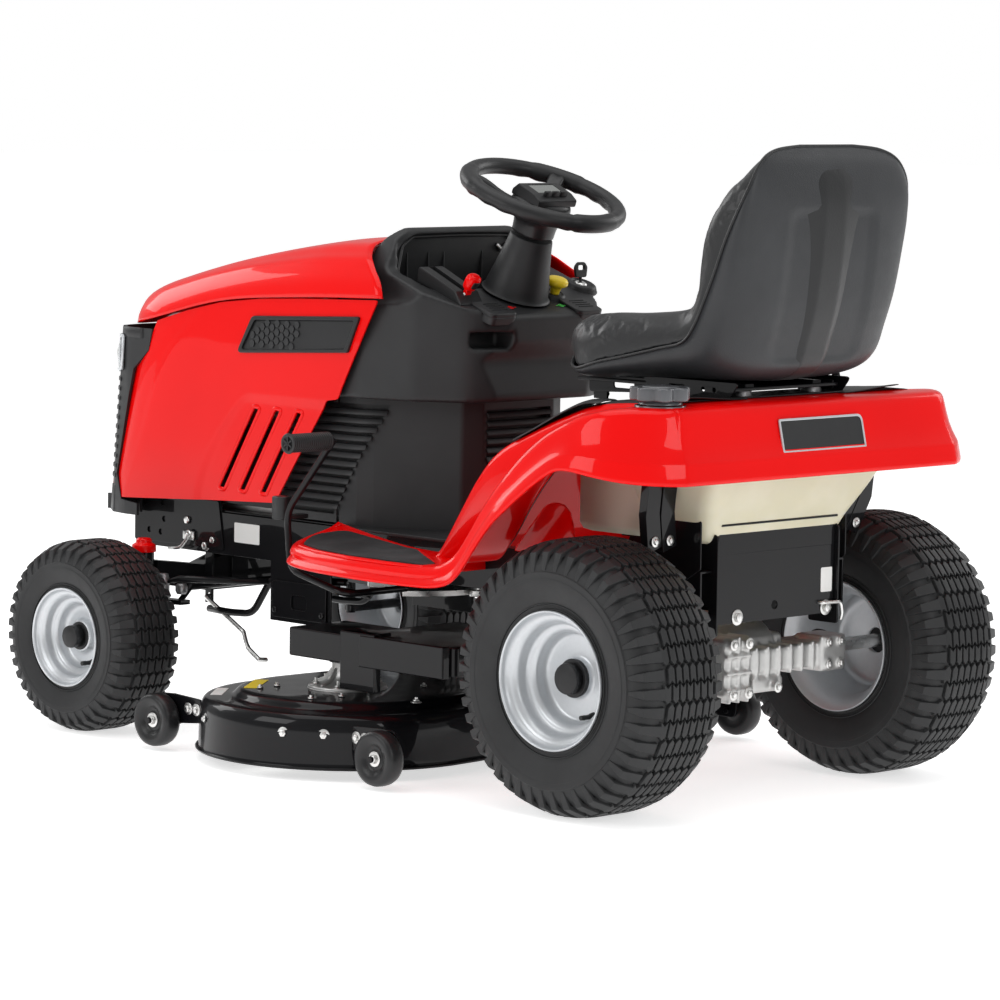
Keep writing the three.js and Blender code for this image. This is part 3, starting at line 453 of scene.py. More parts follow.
def build_looks():
    looks = {
        "red": gloss_paint("red_paint", (0.80, 0.001, 0.001), (0.72, 0.001, 0.001)),
        "deck_black": gloss_paint("gloss_black_paint", (0.004, 0.004, 0.005), (0.008, 0.008, 0.009)),
        "frame_black": gloss_paint("frame_black_paint", (0.007, 0.007, 0.008), (0.011, 0.011, 0.012)),
        "charcoal": moulded("charcoal_plastic", (0.015, 0.0155, 0.0165), 0.46),
        "dark_plastic": moulded("dark_plastic", (0.009, 0.0092, 0.010), 0.42),
        "shell_plastic": moulded("pebbled_plastic", (0.026, 0.0275, 0.030), 0.44, 2.3, 0.28),
        "soft_black": moulded("soft_black_grip", (0.011, 0.0112, 0.012), 0.4, 0.6, 0.03),
        "wheel_plastic": moulded("wheel_plastic", (0.012, 0.0122, 0.013), 0.34, 1.4, 0.03),
        "rubber": moulded("tyre_rubber", (0.014, 0.0142, 0.015), 0.52, 1.1, 0.05, (0.024, 0.025, 0.026)),
        "mat": moulded("anti_slip_mat", (0.016, 0.016, 0.017), 0.85, 1.2, 0.5, (0.05, 0.05, 0.052)),
        "yellow": moulded("yellow_plastic", (0.92, 0.66, 0.01), 0.32, 0.8, 0.02, (0.94, 0.72, 0.05)),
        "label_yellow": moulded("yellow_label", (0.86, 0.66, 0.02), 0.4, 6.0, 0.005, (0.88, 0.7, 0.06)),
        "label_white": moulded("white_label", (0.78, 0.78, 0.76), 0.4, 6.0, 0.005, (0.85, 0.85, 0.84)),
        "zinc": metal("zinc_plate", (0.74, 0.74, 0.73), 0.28, 1.6, 0.02, (0.60, 0.59, 0.55)),
        "cast": metal("cast_aluminium", (0.56, 0.56, 0.55), 0.42, 1.5, 0.12, (0.45, 0.45, 0.45), 0.9),
        "silver": metal("silver_paint", (0.60, 0.62, 0.64), 0.34, 0.8, 0.01, (0.52, 0.54, 0.56), 0.55),
        "steel": metal("dull_steel", (0.42, 0.42, 0.43), 0.38, 1.4, 0.04, (0.25, 0.24, 0.23)),
        "lens": Look("clear_lens", (0.85, 0.88, 0.9), 0.05, Transmission_Weight=0.85, IOR=1.49),
        "screen": Look("display_glass", (0.16, 0.17, 0.16), 0.12, Coat_Weight=1.0),
        "green_icon": Look("green_print", (0.05, 0.62, 0.06), 0.4),
    }
    tank = moulded("tank_plastic", (0.66, 0.62, 0.46), 0.36, 1.6, 0.05, (0.74, 0.70, 0.56))
    tank.put("Subsurface Weight", 0.35)
    tank.put("Subsurface Radius", (0.03, 0.025, 0.015))
    looks["tank"] = tank
    smoke = moulded("smoke_plastic", (0.10, 0.105, 0.115), 0.22, 2.0, 0.01, (0.16, 0.165, 0.18))
    smoke.put("Transmission Weight", 0.35)
    smoke.put("Coat Weight", 0.6)
    looks["smoke"] = smoke
    vinyl = Look("seat_vinyl", (0.006, 0.0066, 0.0075), 0.36, Sheen_Weight=0.08, Specular_IOR_Level=0.3,
                 Coat_Weight=0.2, Coat_Roughness=0.24)
    vinyl.tint(vinyl.noise(120, 3), (0.010, 0.0106, 0.012), 0.4, 0.9)
    vinyl.polish(vinyl.noise(22, 4), 0.34, 0.5)
    vinyl.bump(vinyl.cells(2.6, "SMOOTH_F1"), 0.22, 0.7)
    vinyl.bump(vinyl.noise(0.9, 4), 0.05, 0.5)
    looks["vinyl"] = vinyl
    for plain in ("screen", "green_icon"):
        looks[plain].bump(looks[plain].noise(2.0), 0.004)
    return {key: look.material for key, look in looks.items()}


LOOKS = build_looks()
SLOT_OF = {
    "red": "gloss_paint", "deck_black": "black_steel", "frame_black": "black_steel",
    "charcoal": "trim_plastic", "dark_plastic": "trim_plastic", "shell_plastic": "trim_plastic",
    "soft_black": "soft_grip", "wheel_plastic": "wheel_plastic", "rubber": "tyre_rubber",
    "mat": "soft_grip", "yellow": "yellow_plastic", "label_yellow": "yellow_plastic",
    "label_white": "trim_plastic", "zinc": "bright_steel", "cast": "cast_metal", "silver": "wheel_paint",
    "steel": "bright_steel", "lens": "trim_plastic", "screen": "trim_plastic", "green_icon": "trim_plastic",
    "tank": "tank_plastic", "smoke": "trim_plastic", "vinyl": "seat_vinyl",
}


def make(name, shape, body, look, **options):
    """A piece with one of the looks."""
    return piece(name, shape, body, LOOKS[look], SLOT_OF[look], **options)


def make_pair(name, shape, body, look, replaces=(), **options):
    """A piece on the left and its mirror image on the right; a star stands for the side's name."""
    for side_name, side in SIDES:
        nodes = [node.replace("*", side_name) for node in replaces]
        make(f"{name}_{side_name}", sided(shape, side), body.replace("*", side_name), look, replaces=nodes,
             **options)


def dress_node(name, look):
    """Gives a CAD node that stays in view its look and broken edges."""
    item = frame["nodes"][name]
    item.data.materials.clear()
    item.data.materials.append(LOOKS[look])
    item.modifiers.new("weld", "WELD").merge_threshold = 0.01 * MM
    add_modifiers(item, bevel=1.0)


# ------------------------------------------------------------------ camera, light and floor
CAMERA = {"spot": (5824.6, 5218.3, 1292.9), "azimuth": 134.93, "elevation": 5.68, "roll": 0.86}
LENS, SENSOR = 159.39, 36.0


def add_camera():
    """The one camera, behind and to the left of the machine."""
    data = bpy.data.cameras.new("view")
    data.lens, data.sensor_width = LENS, SENSOR
    data.clip_start, data.clip_end = 0.1, 200
    camera = bpy.data.objects.new("view", data)
    bpy.context.scene.collection.objects.link(camera)
    turn, rise, roll = (math.radians(CAMERA[key]) for key in ("azimuth", "elevation", "roll"))
    back = Vector((math.sin(turn) * math.cos(rise), -math.cos(turn) * math.cos(rise), math.sin(rise)))
    level = back.to_track_quat("Z", "Y").to_matrix().to_4x4()
    spot = Matrix.Translation(TO_ROW @ Vector(CAMERA["spot"]))
    camera.matrix_world = spot @ level @ Matrix.Rotation(roll, 4, "Z")
    bpy.context.scene.camera = camera


def add_light(name, spot, target, size, power):
    data = bpy.data.lights.new(name, "AREA")
    data.shape = "RECTANGLE"
    data.size, data.size_y = size
    data.energy = power
    lamp = bpy.data.objects.new(name, data)
    bpy.context.scene.collection.objects.link(lamp)
    lamp.location = spot
    lamp.rotation_euler = (Vector(target) - Vector(spot)).to_track_quat("-Z", "Y").to_euler()


def add_studio():
    middle = (0.0, 0.0, 0.5)
    add_light("overhead", (0.3, 0.2, 4.2), middle, (4.5, 4.5), 95)
    add_light("side_left", (4.4, -1.2, 2.4), middle, (2.4, 2.0), 50)
    add_light("behind", (0.8, 5.2, 2.6), middle, (2.4, 1.8), 46)
    add_light("side_right", (-4.6, 1.0, 2.6), middle, (2.6, 2.2), 55)
    add_light("ahead", (0.6, -5.0, 2.6), middle, (2.6, 2.0), 55)
    world = bpy.data.worlds.new("studio")
    bpy.context.scene.world = world
    world.use_nodes = True
    tree = world.node_tree
    sky = tree.nodes["Background"]
    sky.inputs["Color"].default_value = (1, 1, 1, 1)
    seen = tree.nodes.new("ShaderNodeLightPath")
    level = tree.nodes.new("ShaderNodeMapRange")
    level.inputs["To Min"].default_value = 0.42
    level.inputs["To Max"].default_value = 1.0
    tree.links.new(seen.outputs["Is Camera Ray"], level.inputs["Value"])
    tree.links.new(level.outputs["Result"], sky.inputs["Strength"])
    bpy.context.scene.view_settings.view_transform = "Standard"


def add_floor():
    half = 40000
    corners = [Vector((x, y, 0)) for x, y in ((-half, -half), (half, -half), (half, half), (-half, half))]
    mesh = mesh_from("floor", (corners, [(0, 1, 2, 3)]))
    floor = bpy.data.objects.new("floor", mesh)
    bpy.context.scene.collection.objects.link(floor)
    look = Look("pale_floor", (0.88, 0.88, 0.88), 0.7, Emission_Color=(1, 1, 1, 1), Emission_Strength=0.64)
    look.tint(look.noise(900, 2), (0.87, 0.87, 0.87))
    floor.data.materials.append(look.material)


add_camera()
add_studio()
add_floor()


# ------------------------------------------------------------------ road wheels
REAR = {"radius": 241.0, "half": 105.0, "rim": 117.0, "rows": 46, "across": 3.5, "lug": 7.0, "cap": (34, 28)}
FRONT = {"radius": 184.0, "half": 77.0, "rim": 91.0, "rows": 40, "across": 2.5, "lug": 6.0, "cap": (27, 34)}


def carcass_profile(w):
    """(radius, along) from the outer bead over the tread to the inner bead."""
    r, half, rim = w["radius"] - w["lug"], w["half"], w["rim"]
    wall = r - rim
    side = [
        (rim - 3, half * 0.80), (rim + 3, half * 0.88), (rim + 7, half * 0.885), (rim + 9, half * 0.865),
        (rim + wall * 0.22, half * 0.93), (rim + wall * 0.42, half * 0.985), (rim + wall * 0.56, half),
        (rim + wall * 0.60, half * 1.0), (rim + wall * 0.615, half * 0.975), (rim + wall * 0.72, half * 0.94),
        (rim + wall * 0.86, half * 0.84), (rim + wall * 0.95, half * 0.70), (r - 0.5, half * 0.45)]
    upper = smooth_path(side, 4)
    lower = [(radius, -along) for radius, along in reversed(upper)]
    return upper + [(r, 0.0)] + lower


def tread_radius(w, along):
    """How far the tread stands from the axle at a distance from the middle plane."""
    share = min(1.0, abs(along) / w["half"])
    return w["radius"] - 0.34 * w["radius"] * 0.30 * max(0.0, share - 0.32) ** 2 / 0.46


def tread_point(w, along, around, height):
    radius = tread_radius(w, along) + height
    angle = around / w["radius"]
    return Vector((along, radius * math.sin(angle), radius * math.cos(angle)))


BLOCK_FOOT, BLOCK_TAPER = 6.5, 1.1


def tread_block(w, lower, upper):
    """A block whose outline is (along, around) points: two rows, lower and upper, left to right."""
    ring = [*lower, *reversed(upper)]
    centre = (sum(p[0] for p in ring) / len(ring), sum(p[1] for p in ring) / len(ring))
    points = [tread_point(w, a, c, -BLOCK_FOOT) for a, c in ring]
    for a, c in ring:
        inward = Vector((centre[0] - a, centre[1] - c)).normalized() * BLOCK_TAPER
        points.append(tread_point(w, a + inward.x, c + inward.y, 0))
    n, half = len(ring), len(lower)
    faces = [(i, (i + 1) % n, n + (i + 1) % n, n + i) for i in range(n)]
    faces += [(n + i, n + i + 1, n + n - 2 - i, n + n - 1 - i) for i in range(half - 1)]
    return points, faces


def shoulder_rib(w, around, high, side):
    """One rib of the shoulder, from the tread edge out over the sidewall."""
    r, half, rim, lug = w["radius"], w["half"], w["rim"], w["lug"]
    wall = r - lug - rim
    spine = [
        (tread_radius(w, half * 0.58), half * 0.60, high),
        (tread_radius(w, half * 0.8) - 1, half * 0.80, high * 0.92),
        (rim + wall * 0.86 + lug * 0.5, half * 0.90 + 2, high * 0.8),
        (rim + wall * 0.72 + 1.5, half * 0.955 + 1, high * 0.62),
        (rim + wall * 0.63, half * 0.985, high * 0.42)]
    rows = []
    for radius, along, width in spine:
        row = []
        for part, sink in ((-1, 7.0), (-0.8, 0), (0.8, 0), (1, 7.0)):
            angle = (around + part * width / 2) / r
            deep = radius - sink
            row.append(Vector((side * (along - sink * 0.4), deep * math.sin(angle), deep * math.cos(angle))))
        rows.append(row)
    return capped(rows)


def tread(w):
    pitch = 2 * math.pi * w["radius"] / w["rows"]
    block_width = w["half"] * 1.16 / w["across"] / 2
    rise = pitch * 0.22
    gap = 2.5
    blocks = []
    columns = int(w["across"] * 2)
    for row in range(w["rows"]):
        shift, wave = (0, rise) if row % 2 == 0 else (block_width / 2, -rise)
        low, high = row * pitch + gap, (row + 1) * pitch - gap
        for column in range(columns):
            centre = (column - (columns - 1) / 2) * block_width + shift - block_width / 4
            a, b = centre - block_width / 2 + gap * 0.7, centre + block_width / 2 - gap * 0.7
            lower = [(a, low + wave / 2), (centre, low - wave / 2), (b, low + wave / 2)]
            upper = [(x, y + high - low) for x, y in lower]
            blocks.append(tread_block(w, lower, upper))
        for side in (1, -1):
            blocks.append(shoulder_rib(w, (row + 0.5) * pitch, pitch * 0.74, side))
    return merged(*blocks)


def sidewall_rings(w):
    """Two fine raised rings moulded on each sidewall."""
    r, half, rim = w["radius"] - w["lug"], w["half"], w["rim"]
    wall = r - rim
    rings = []
    for share, along in ((0.13, 0.905), (0.5, 0.995)):
        radius = rim + wall * share
        ring = lathe([(radius - 1.6, half * along - 2), (radius, half * along + 0.8),
                      (radius + 1.6, half * along - 2)], (0, 0, 0), (1, 0, 0), 96, closed=True)
        rings += [ring, turned(ring, Matrix.Rotation(math.pi, 4, "Z"))]
    return merged(*rings)


def rim_shape(w):
    """Pressed steel rim, open outwards: rolled flange, two steps, well and disc."""
    rim, half = w["rim"], w["half"]
    deep = half * 0.22
    outer = smooth_path([
        (24, deep + 16), (30, deep + 15), (34, deep + 4), (44, deep + 1), (rim * 0.60, deep + 1),
        (rim * 0.66, deep + 6), (rim * 0.68, deep + 12), (rim * 0.69, half * 0.44),
        (rim * 0.74, half * 0.50), (rim * 0.80, half * 0.52), (rim * 0.83, half * 0.58),
        (rim * 0.85, half * 0.70), (rim * 0.90, half * 0.77), (rim * 0.95, half * 0.80),
        (rim * 0.985, half * 0.86), (rim, half * 0.93), (rim + 2.5, half * 0.95),
        (rim + 4, half * 0.93)], 3)
    back = [
        (rim + 4, half * 0.90), (rim - 1, half * 0.86), (rim - 2, half * 0.72), (rim * 0.84, half * 0.64),
        (rim * 0.84, -half * 0.64), (rim - 2, -half * 0.74), (rim - 1, -half * 0.86),
        (rim + 4, -half * 0.93), (rim + 1, -half * 0.95), (rim * 0.93, -half * 0.84),
        (rim * 0.80, -half * 0.58), (rim * 0.78, deep - 12), (rim * 0.60, deep - 3), (24, deep - 3)]
    return lathe(outer + back, (0, 0, 0), (1, 0, 0), 96, closed=True)


def hub_cap(w):
    """Push-on cap over the axle end, with its retaining collar."""
    radius, out = w["cap"]
    start = w["half"] * 0.22 + 8
    return merged(
        lathe([(radius * 0.7, start), (radius * 0.98, start + 3), (radius, start + 9),
               (radius * 0.94, start + 12)], (0, 0, 0), (1, 0, 0), 40),
        lathe([(radius * 0.78, start + 8), (radius * 0.80, start + out - 3), (radius * 0.76, start + out),
               (radius * 0.30, start + out + 0.8), (2, start + out + 0.8)], (0, 0, 0), (1, 0, 0), 40))


def valve(w):
    """Rubber valve stem standing out of the rim's well."""
    radius = w["rim"] * 0.62
    start = w["half"] * 0.22
    return merged(
        bar((start, 0, -radius), (start + 9, 0, -radius), 7.5, 6),
        bar((start + 8, 0, -radius), (start + 24, 0, -radius), 4.4, 3.9),
        bar((start + 23, 0, -radius), (start + 33, 0, -radius), 4.6, 4.2))


def road_wheel(w, name, side):
    body = f"wheel_{name}"
    at = node_centre(f"tyre_{name}")

    def set_down(shape, roll=0.0):
        spun = turned(shape, Matrix.Rotation(roll, 4, "X"))
        return moved(sided(spun, side), at.x, at.y, at.z)

    tyre = lathe(carcass_profile(w), (0, 0, 0), (1, 0, 0), 120, closed=True)
    make(f"tyre_casing_{name}", set_down(tyre), body, "rubber", replaces=[f"tyre_{name}"])
    points, faces = set_down(tread(w))
    pressed = [Vector((p.x, p.y, max(0.3, p.z))) for p in points]
    make(f"tyre_tread_{name}", (pressed, faces), body, "rubber", bevel=0.7)
    make(f"tyre_rings_{name}", set_down(sidewall_rings(w)), body, "rubber")
    make(f"wheel_disc_{name}", set_down(rim_shape(w)), body, "silver", replaces=[f"rim_{name}"])
    make(f"hub_cap_{name}", set_down(hub_cap(w)), body, "dark_plastic")
    make(f"valve_stem_{name}", set_down(valve(w), 0.5), body, "dark_plastic")


for wheel, end in ((REAR, "rear"), (FRONT, "front")):
    for side_name, side in SIDES:
        road_wheel(wheel, f"{end}_{side_name}", side)


# ------------------------------------------------------------------ solids cut and fused
def shape_of(item):
    """The evaluated mesh of an object, as points in design millimetres and faces."""
    bpy.context.view_layer.update()
    done = item.evaluated_get(bpy.context.evaluated_depsgraph_get()).to_mesh()
    back = TO_ROW.inverted()
    points = [back @ v.co for v in done.vertices]
    faces = [tuple(face.vertices) for face in done.polygons]
    return points, faces


def carved(shape, cutters=(), mode="DIFFERENCE", voxel=0.0, soften=0):
    """The shape after booleans with each cutter, then fused on a voxel grid and softened."""
    made = [bpy.data.objects.new("work", mesh_from("work", part)) for part in (shape, *cutters)]
    for item in made:
        bpy.context.scene.collection.objects.link(item)
        item.modifiers.new("weld", "WELD").merge_threshold = 0.01 * MM
    base = made[0]
    for cutter in made[1:]:
        step = base.modifiers.new("cut", "BOOLEAN")
        step.operation = mode
        step.object = cutter
        step.solver = "EXACT"
    if voxel:
        fuse = base.modifiers.new("fuse", "REMESH")
        fuse.mode = "VOXEL"
        fuse.voxel_size = voxel * MM
    if soften:
        calm = base.modifiers.new("soften", "SMOOTH")
        calm.factor = 0.5
        calm.iterations = soften
    result = shape_of(base)
    for item in made:
        bpy.data.objects.remove(item)
    return result


def rising(value, start, end):
    """0 before start, 1 after end, smooth between."""
    share = max(0.0, min(1.0, (value - start) / (end - start)))
    return share * share * (3 - 2 * share)


def along(value, stops):
    """Smooth curve through (input, output) stops, level outside them."""
    if value <= stops[0][0]:
        return stops[0][1]
    for i in range(1, len(stops)):
        (a, low), (b, high) = stops[i - 1], stops[i]
        if value <= b:
            before = stops[max(0, i - 2)]
            after = stops[min(len(stops) - 1, i + 1)]
            start = (high - before[1]) / max(1e-6, b - before[0])
            end = (after[1] - low) / max(1e-6, after[0] - a)
            t, span = (value - a) / (b - a), b - a
            return ((2 * t ** 3 - 3 * t * t + 1) * low + (t ** 3 - 2 * t * t + t) * span * start
                    + (3 * t * t - 2 * t ** 3) * high + (t ** 3 - t * t) * span * end)
    return stops[-1][1]


# ------------------------------------------------------------------ hood
HOOD_WIDTH = [(-1462, 100), (-1450, 138), (-1430, 174), (-1400, 204), (-1360, 229), (-1300, 245),
              (-1096, 256), (-860, 266), (-640, 270)]
HOOD_SEAM = [(-1462, 764), (-1400, 768), (-1323, 781), (-1096, 828), (-860, 846), (-640, 854)]
HOOD_RIDGE = [(-1462, 795), (-1440, 818), (-1399, 838), (-1308, 866), (-1105, 914), (-876, 952), (-738, 961)]
HOOD_CROWN = [(0, 1), (0.35, 0.985), (0.6, 0.93), (0.76, 0.84), (0.87, 0.67), (0.95, 0.40), (0.985, 0.2),
              (1, 0)]
HOOD_BACK = [(0, -752), (0.5, -750), (0.72, -736), (0.84, -710), (0.92, -680), (0.97, -652), (1, -636)]
NOSE_RAKE = 85
CREASE = [(431, -1405), (470, -1383), (560, -1338), (650, -1300), (729, -1255), (790, -1190), (830, -1150)]


def side_x(y):
    return along(y, HOOD_WIDTH)


def hood_cap():
    rows = []
    for i in range(45):
        share_y = i / 44
        row = []
        for k in range(-32, 33):
            share = math.copysign(1 - (1 - abs(k) / 32) ** 1.5, k)
            back = along(abs(share), HOOD_BACK)
            y = -1464 + (back + 1464) * share_y ** 1.15
            nose = math.sqrt(max(0.03, min(1.0, (y + 1466) / 70)))
            seam, ridge = along(y, HOOD_SEAM), along(y, HOOD_RIDGE)
            crown = along(abs(share), HOOD_CROWN)
            x = share * side_x(y) * (0.55 + 0.45 * nose)
            dip = 5.0 * rising(y, -1300, -900) * math.exp(-((abs(share) - 0.80) / 0.07) ** 2)
            row.append(Vector((x, y + 1.5 * (1 - crown), seam + 2 + crown * (ridge - seam)
                               * (0.25 + 0.75 * nose) - dip)))
        rows.append(row)
    return grid(rows)


HOOD_SIDE_EDGE = [
    (-1298, 781, 4), (-1200, 806, 40), (-1096, 827, 60), (-980, 839, 60), (-860, 845, 60), (-652, 852, 5),
    (-743, 683, 30), (-752, 664, 12), (-783, 660, 14), (-932, 457, 8), (-1137, 446, 90), (-1442, 427, 6),
    (-1463, 470, 8), (-1391, 682, 20), (-1326, 727, 16)]
VENT = {"y": -1100, "step": 62, "width": 17, "low": 474, "high": 632, "lean": 108, "count": 3}


def vent_outline(index, grow=0.0):
    y, low, high = VENT["y"] + index * VENT["step"], VENT["low"], VENT["high"]
    width, lean = VENT["width"], VENT["lean"]
    corners = [(y - grow, low - grow), (y + width + grow, low - grow * 1.5),
               (y + width + lean + grow, high + grow), (y + lean - grow, high + grow * 1.5)]
    return rounded(corners, 7 + grow * 0.6)


def side_surface(y, z):
    """Where the hood's side skin stands, with its front fold and the raised field round the vents."""
    x = side_x(y + NOSE_RAKE * (780 - z) / 350)
    fold = along(z, CREASE)
    x -= 6 * rising(fold - y, 0, 190) + 1.2 * rising(fold - y, -5, 6)
    field_edge = -1166 + 150 * (max(0.0, min(z, 655) - 440) / 215) ** 1.6
    x -= 3.5 * rising(y - field_edge, -6, 10) * (1 - rising(z, 640, 662))
    return x - 5 * ((z - 640) / 200) ** 2


def hood_side():
    """Side panel of steel thickness, cut to its outline and with its vents."""
    rows = []
    wide = high = 101
    for i in range(high):
        z = 415 + i * 4.4
        rows.append([Vector((side_surface(-1486 + j * 8.4, z), -1486 + j * 8.4, z)) for j in range(wide)])
    outer, sheet = grid(rows)
    points = outer + [Vector((p.x - 3, p.y, p.z)) for p in outer]
    offset = wide * high
    faces = list(sheet) + [tuple(offset + i for i in reversed(face)) for face in sheet]
    ring = [*range(wide)] + [i * wide + wide - 1 for i in range(1, high)]
    ring += [(high - 1) * wide + j for j in range(wide - 2, -1, -1)] + [i * wide for i in range(high - 2, 0,
                                                                                                -1)]
    faces += [(ring[k], ring[(k + 1) % len(ring)], offset + ring[(k + 1) % len(ring)], offset + ring[k])
              for k in range(len(ring))]
    outline = plate([rounded(HOOD_SIDE_EDGE, 6)], "x", 150, 330, 0.0)
    vents = [plate([vent_outline(i)], "x", 150, 330, 0.0) for i in range(VENT["count"])]
    panel = carved((points, faces), [outline], "INTERSECT")
    return carved(panel, vents)


def vent_rims():
    """Pressed rims round the vents."""
    rims = []
    for i in range(VENT["count"]):
        outline = vent_outline(i, 2.5)
        rows = []
        for k, (y, z) in enumerate(outline):
            out, base = outward(outline, k), side_surface(y, z)
            rows.append([Vector((base + v - 0.4, y + out.x * u, z + out.y * u)) for u, v in oval(4.5, 2.6)])
        rims.append(grid(rows, loop_rows=True, loop_points=True))
    return merged(*rims)


BADGE = [(-1040, 734, 8), (-724, 752, 6), (-694, 820, 5), (-998, 806, 14)]


def on_side(shape, lift):
    """Bends a flat panel made at x = 0 onto the hood's side."""
    points, faces = shape
    return [Vector((side_surface(p.y, p.z) + p.x + lift, p.y, p.z)) for p in points], faces


def badge_frame():
    inner = [(-1028, 741, 6), (-732, 758, 4), (-706, 812, 4), (-990, 799, 12)]
    return plate([rounded(BADGE, 6), rounded(inner, 4)], "x", -2, 6, 1.6)


def badge_field():
    """Smooth panel inside the badge's frame, following the hood's side."""
    rows = []
    for j in range(13):
        t = j / 12
        start = Vector((-1030 + 40 * t, 738 + 62 * t))
        end = Vector((-730 + 24 * t, 756 + 58 * t))
        row = []
        for k in range(41):
            spot = start.lerp(end, k / 40)
            row.append(Vector((side_surface(spot.x, spot.y) + 2.2, spot.x, spot.y)))
        rows.append(row)
    return grid(rows)


def badge_cells():
    """Raised hexagons filling the badge's field."""
    cells = []
    size = 9.5
    for row in range(8):
        for column in range(30):
            y = -1024 + column * size * 1.5
            z = 738 + (row + (column % 2) * 0.5) * size * 1.732
            if not in_outline((y, z), [(-1020, 746), (-880, 754), (-850, 803), (-988, 795)]):
                continue
            ring = [(y + u, z + v) for u, v in oval(size * 0.78, count=6)]
            cells.append(plate([ring], "x", 0, 2.4, 0.6))
    return merged(*cells)


def in_outline(spot, outline):
    inside = False
    for i, (x1, y1) in enumerate(outline):
        x0, y0 = outline[i - 1]
        if (y0 > spot[1]) != (y1 > spot[1]) and spot[0] < (x1 - x0) * (spot[1] - y0) / (y1 - y0) + x0:
            inside = not inside
    return inside


def build_hood():
    make("hood_cap", hood_cap(), "hood", "red", replaces=["hood_top"], sheet=3.0, crisp=False)
    make_pair("hood_panel", hood_side(), "hood", "red", replaces=["hood_side_*"], bevel=0.8)
    make_pair("vent_rims", vent_rims(), "hood", "red", crisp=False)
    make_pair("badge_frame", on_side(badge_frame(), 0), "hood", "dark_plastic")
    make_pair("badge_field", badge_field(), "hood", "dark_plastic", sheet=1.0, crisp=False)
    make_pair("badge_cells", on_side(badge_cells(), 2.0), "hood", "charcoal")


build_hood()


# ------------------------------------------------------------------ fender, footrests and console
# Stations round the left half of the fender, from the middle of the rear to the footrest's front:
# lip x, lip y, top z, lip z, lean of the skirt, inner edge x, y and z.
FENDER = [
    (0, 207, 711, 586, 30, 0, 120, 713), (170, 207, 711, 586, 30, 150, 120, 713),
    (330, 207, 710, 586, 30, 290, 112, 712), (366, 201, 710, 586, 31, 310, 106, 711),
    (414, 168, 709, 588, 33, 318, 98, 710), (444, 130, 708, 592, 32, 321, 86, 709),
    (463, 84, 704, 599, 30, 322, 66, 705), (468, 40, 695, 605, 27, 322, 36, 697),
    (468, 0, 681, 602, 24, 322, 0, 683), (468, -50, 655, 574, 21, 322, -50, 657),
    (468, -100, 617, 538, 19, 322, -100, 619), (468, -150, 567, 498, 18, 322, -150, 569),
    (468, -190, 519, 452, 17, 322, -190, 520), (468, -222, 472, 411, 15, 322, -222, 472),
    (468, -252, 434, 386, 12, 318, -252, 434), (468, -290, 412, 376, 9, 300, -290, 411),
    (468, -340, 405, 373, 7, 275, -340, 404), (467, -420, 404, 372, 6, 256, -420, 402),
    (464, -500, 404, 372, 6, 254, -500, 402), (455, -575, 404, 372, 6, 254, -575, 406),
    (438, -655, 404, 372, 6, 254, -650, 416), (412, -722, 404, 373, 6, 254, -700, 424),
    (376, -762, 406, 375, 6, 254, -735, 430), (334, -778, 412, 380, 6, 254, -752, 433),
    (290, -776, 422, 388, 6, 254, -762, 435), (256, -766, 433, 396, 6, 252, -762, 436),
]


def fender_sheet():
    stations = smooth_path(FENDER, 4)
    rows = []
    for i, (x, y, top, lip, lean, inner_x, inner_y, inner_z) in enumerate(stations):
        before, after = stations[max(0, i - 1)], stations[min(len(stations) - 1, i + 1)]
        way = Vector((after[0] - before[0], after[1] - before[1], 0))
        out = Vector((-way.y, way.x, 0)).normalized()
        if out.dot(Vector((x, y + 300, 0))) < 0:
            out = -out
        if i == 0:
            out = Vector((0, 1, 0))
        high = top - lip
        soft = min(14.0, high * 0.40)
        section = [(lean + soft * 1.6, top), (lean + soft * 0.75, top - soft * 0.10),
                   (lean + soft * 0.28, top - soft * 0.38), (lean + soft * 0.02, top - soft),
                   (lean * 0.62 + 3, lip + high * 0.52), (8.5, lip + high * 0.29),
                   (6.2, lip + high * 0.262), (5.2, lip + high * 0.22), (1.2, lip + high * 0.06), (0, lip),
                   (0.6, lip - 2.0), (3.2, lip - 2.2), (4.4, lip + 0.5)]
        edge = Vector((x, y, 0))
        first = edge - out * section[0][0]
        row = []
        for k in range(7):
            t = k / 7
            row.append(Vector((inner_x + (first.x - inner_x) * t, inner_y + (first.y - inner_y) * t,
                               inner_z + (top - inner_z) * t)))
        row += [edge - out * inward + Vector((0, 0, z)) for inward, z in section]
        rows.append(row)
    return grid(rows)


HUMP = [(-440, 372), (-438, 404), (-414, 437), (-372, 500), (-330, 560), (-282, 608), (-200, 648),
        (-118, 681), (-47, 703), (40, 712), (125, 714)]
BAND_TOP = [(-440, 402), (-340, 404), (-290, 411), (-252, 434), (-222, 472), (-190, 519), (-150, 567),
            (-100, 617), (-50, 655), (0, 681), (40, 695), (84, 704), (125, 709)]


def hump_sheet(lift, half, spine, edge=18.0):
    """The raised middle of the fender, or the trim over it."""
    rows = []
    for y, z in smooth_path(spine, 5):
        foot = min(along(y, BAND_TOP) + 1, z - 2)
        right = [(0, z + lift), (half * 0.5, z + lift), (half - edge * 1.6, z + lift),
                 (half - edge * 0.7, z + lift - edge * 0.08),
                 (half - edge * 0.25, z + lift - min(edge * 0.35, (z + lift - foot) * 0.4)),
                 (half, z + lift - min(edge, (z + lift - foot) * 0.8)), (half + 2, foot)]
        rows.append([Vector((-x, y, w)) for x, w in reversed(right[1:])]
                    + [Vector((x, y, w)) for x, w in right])
    return grid(rows)


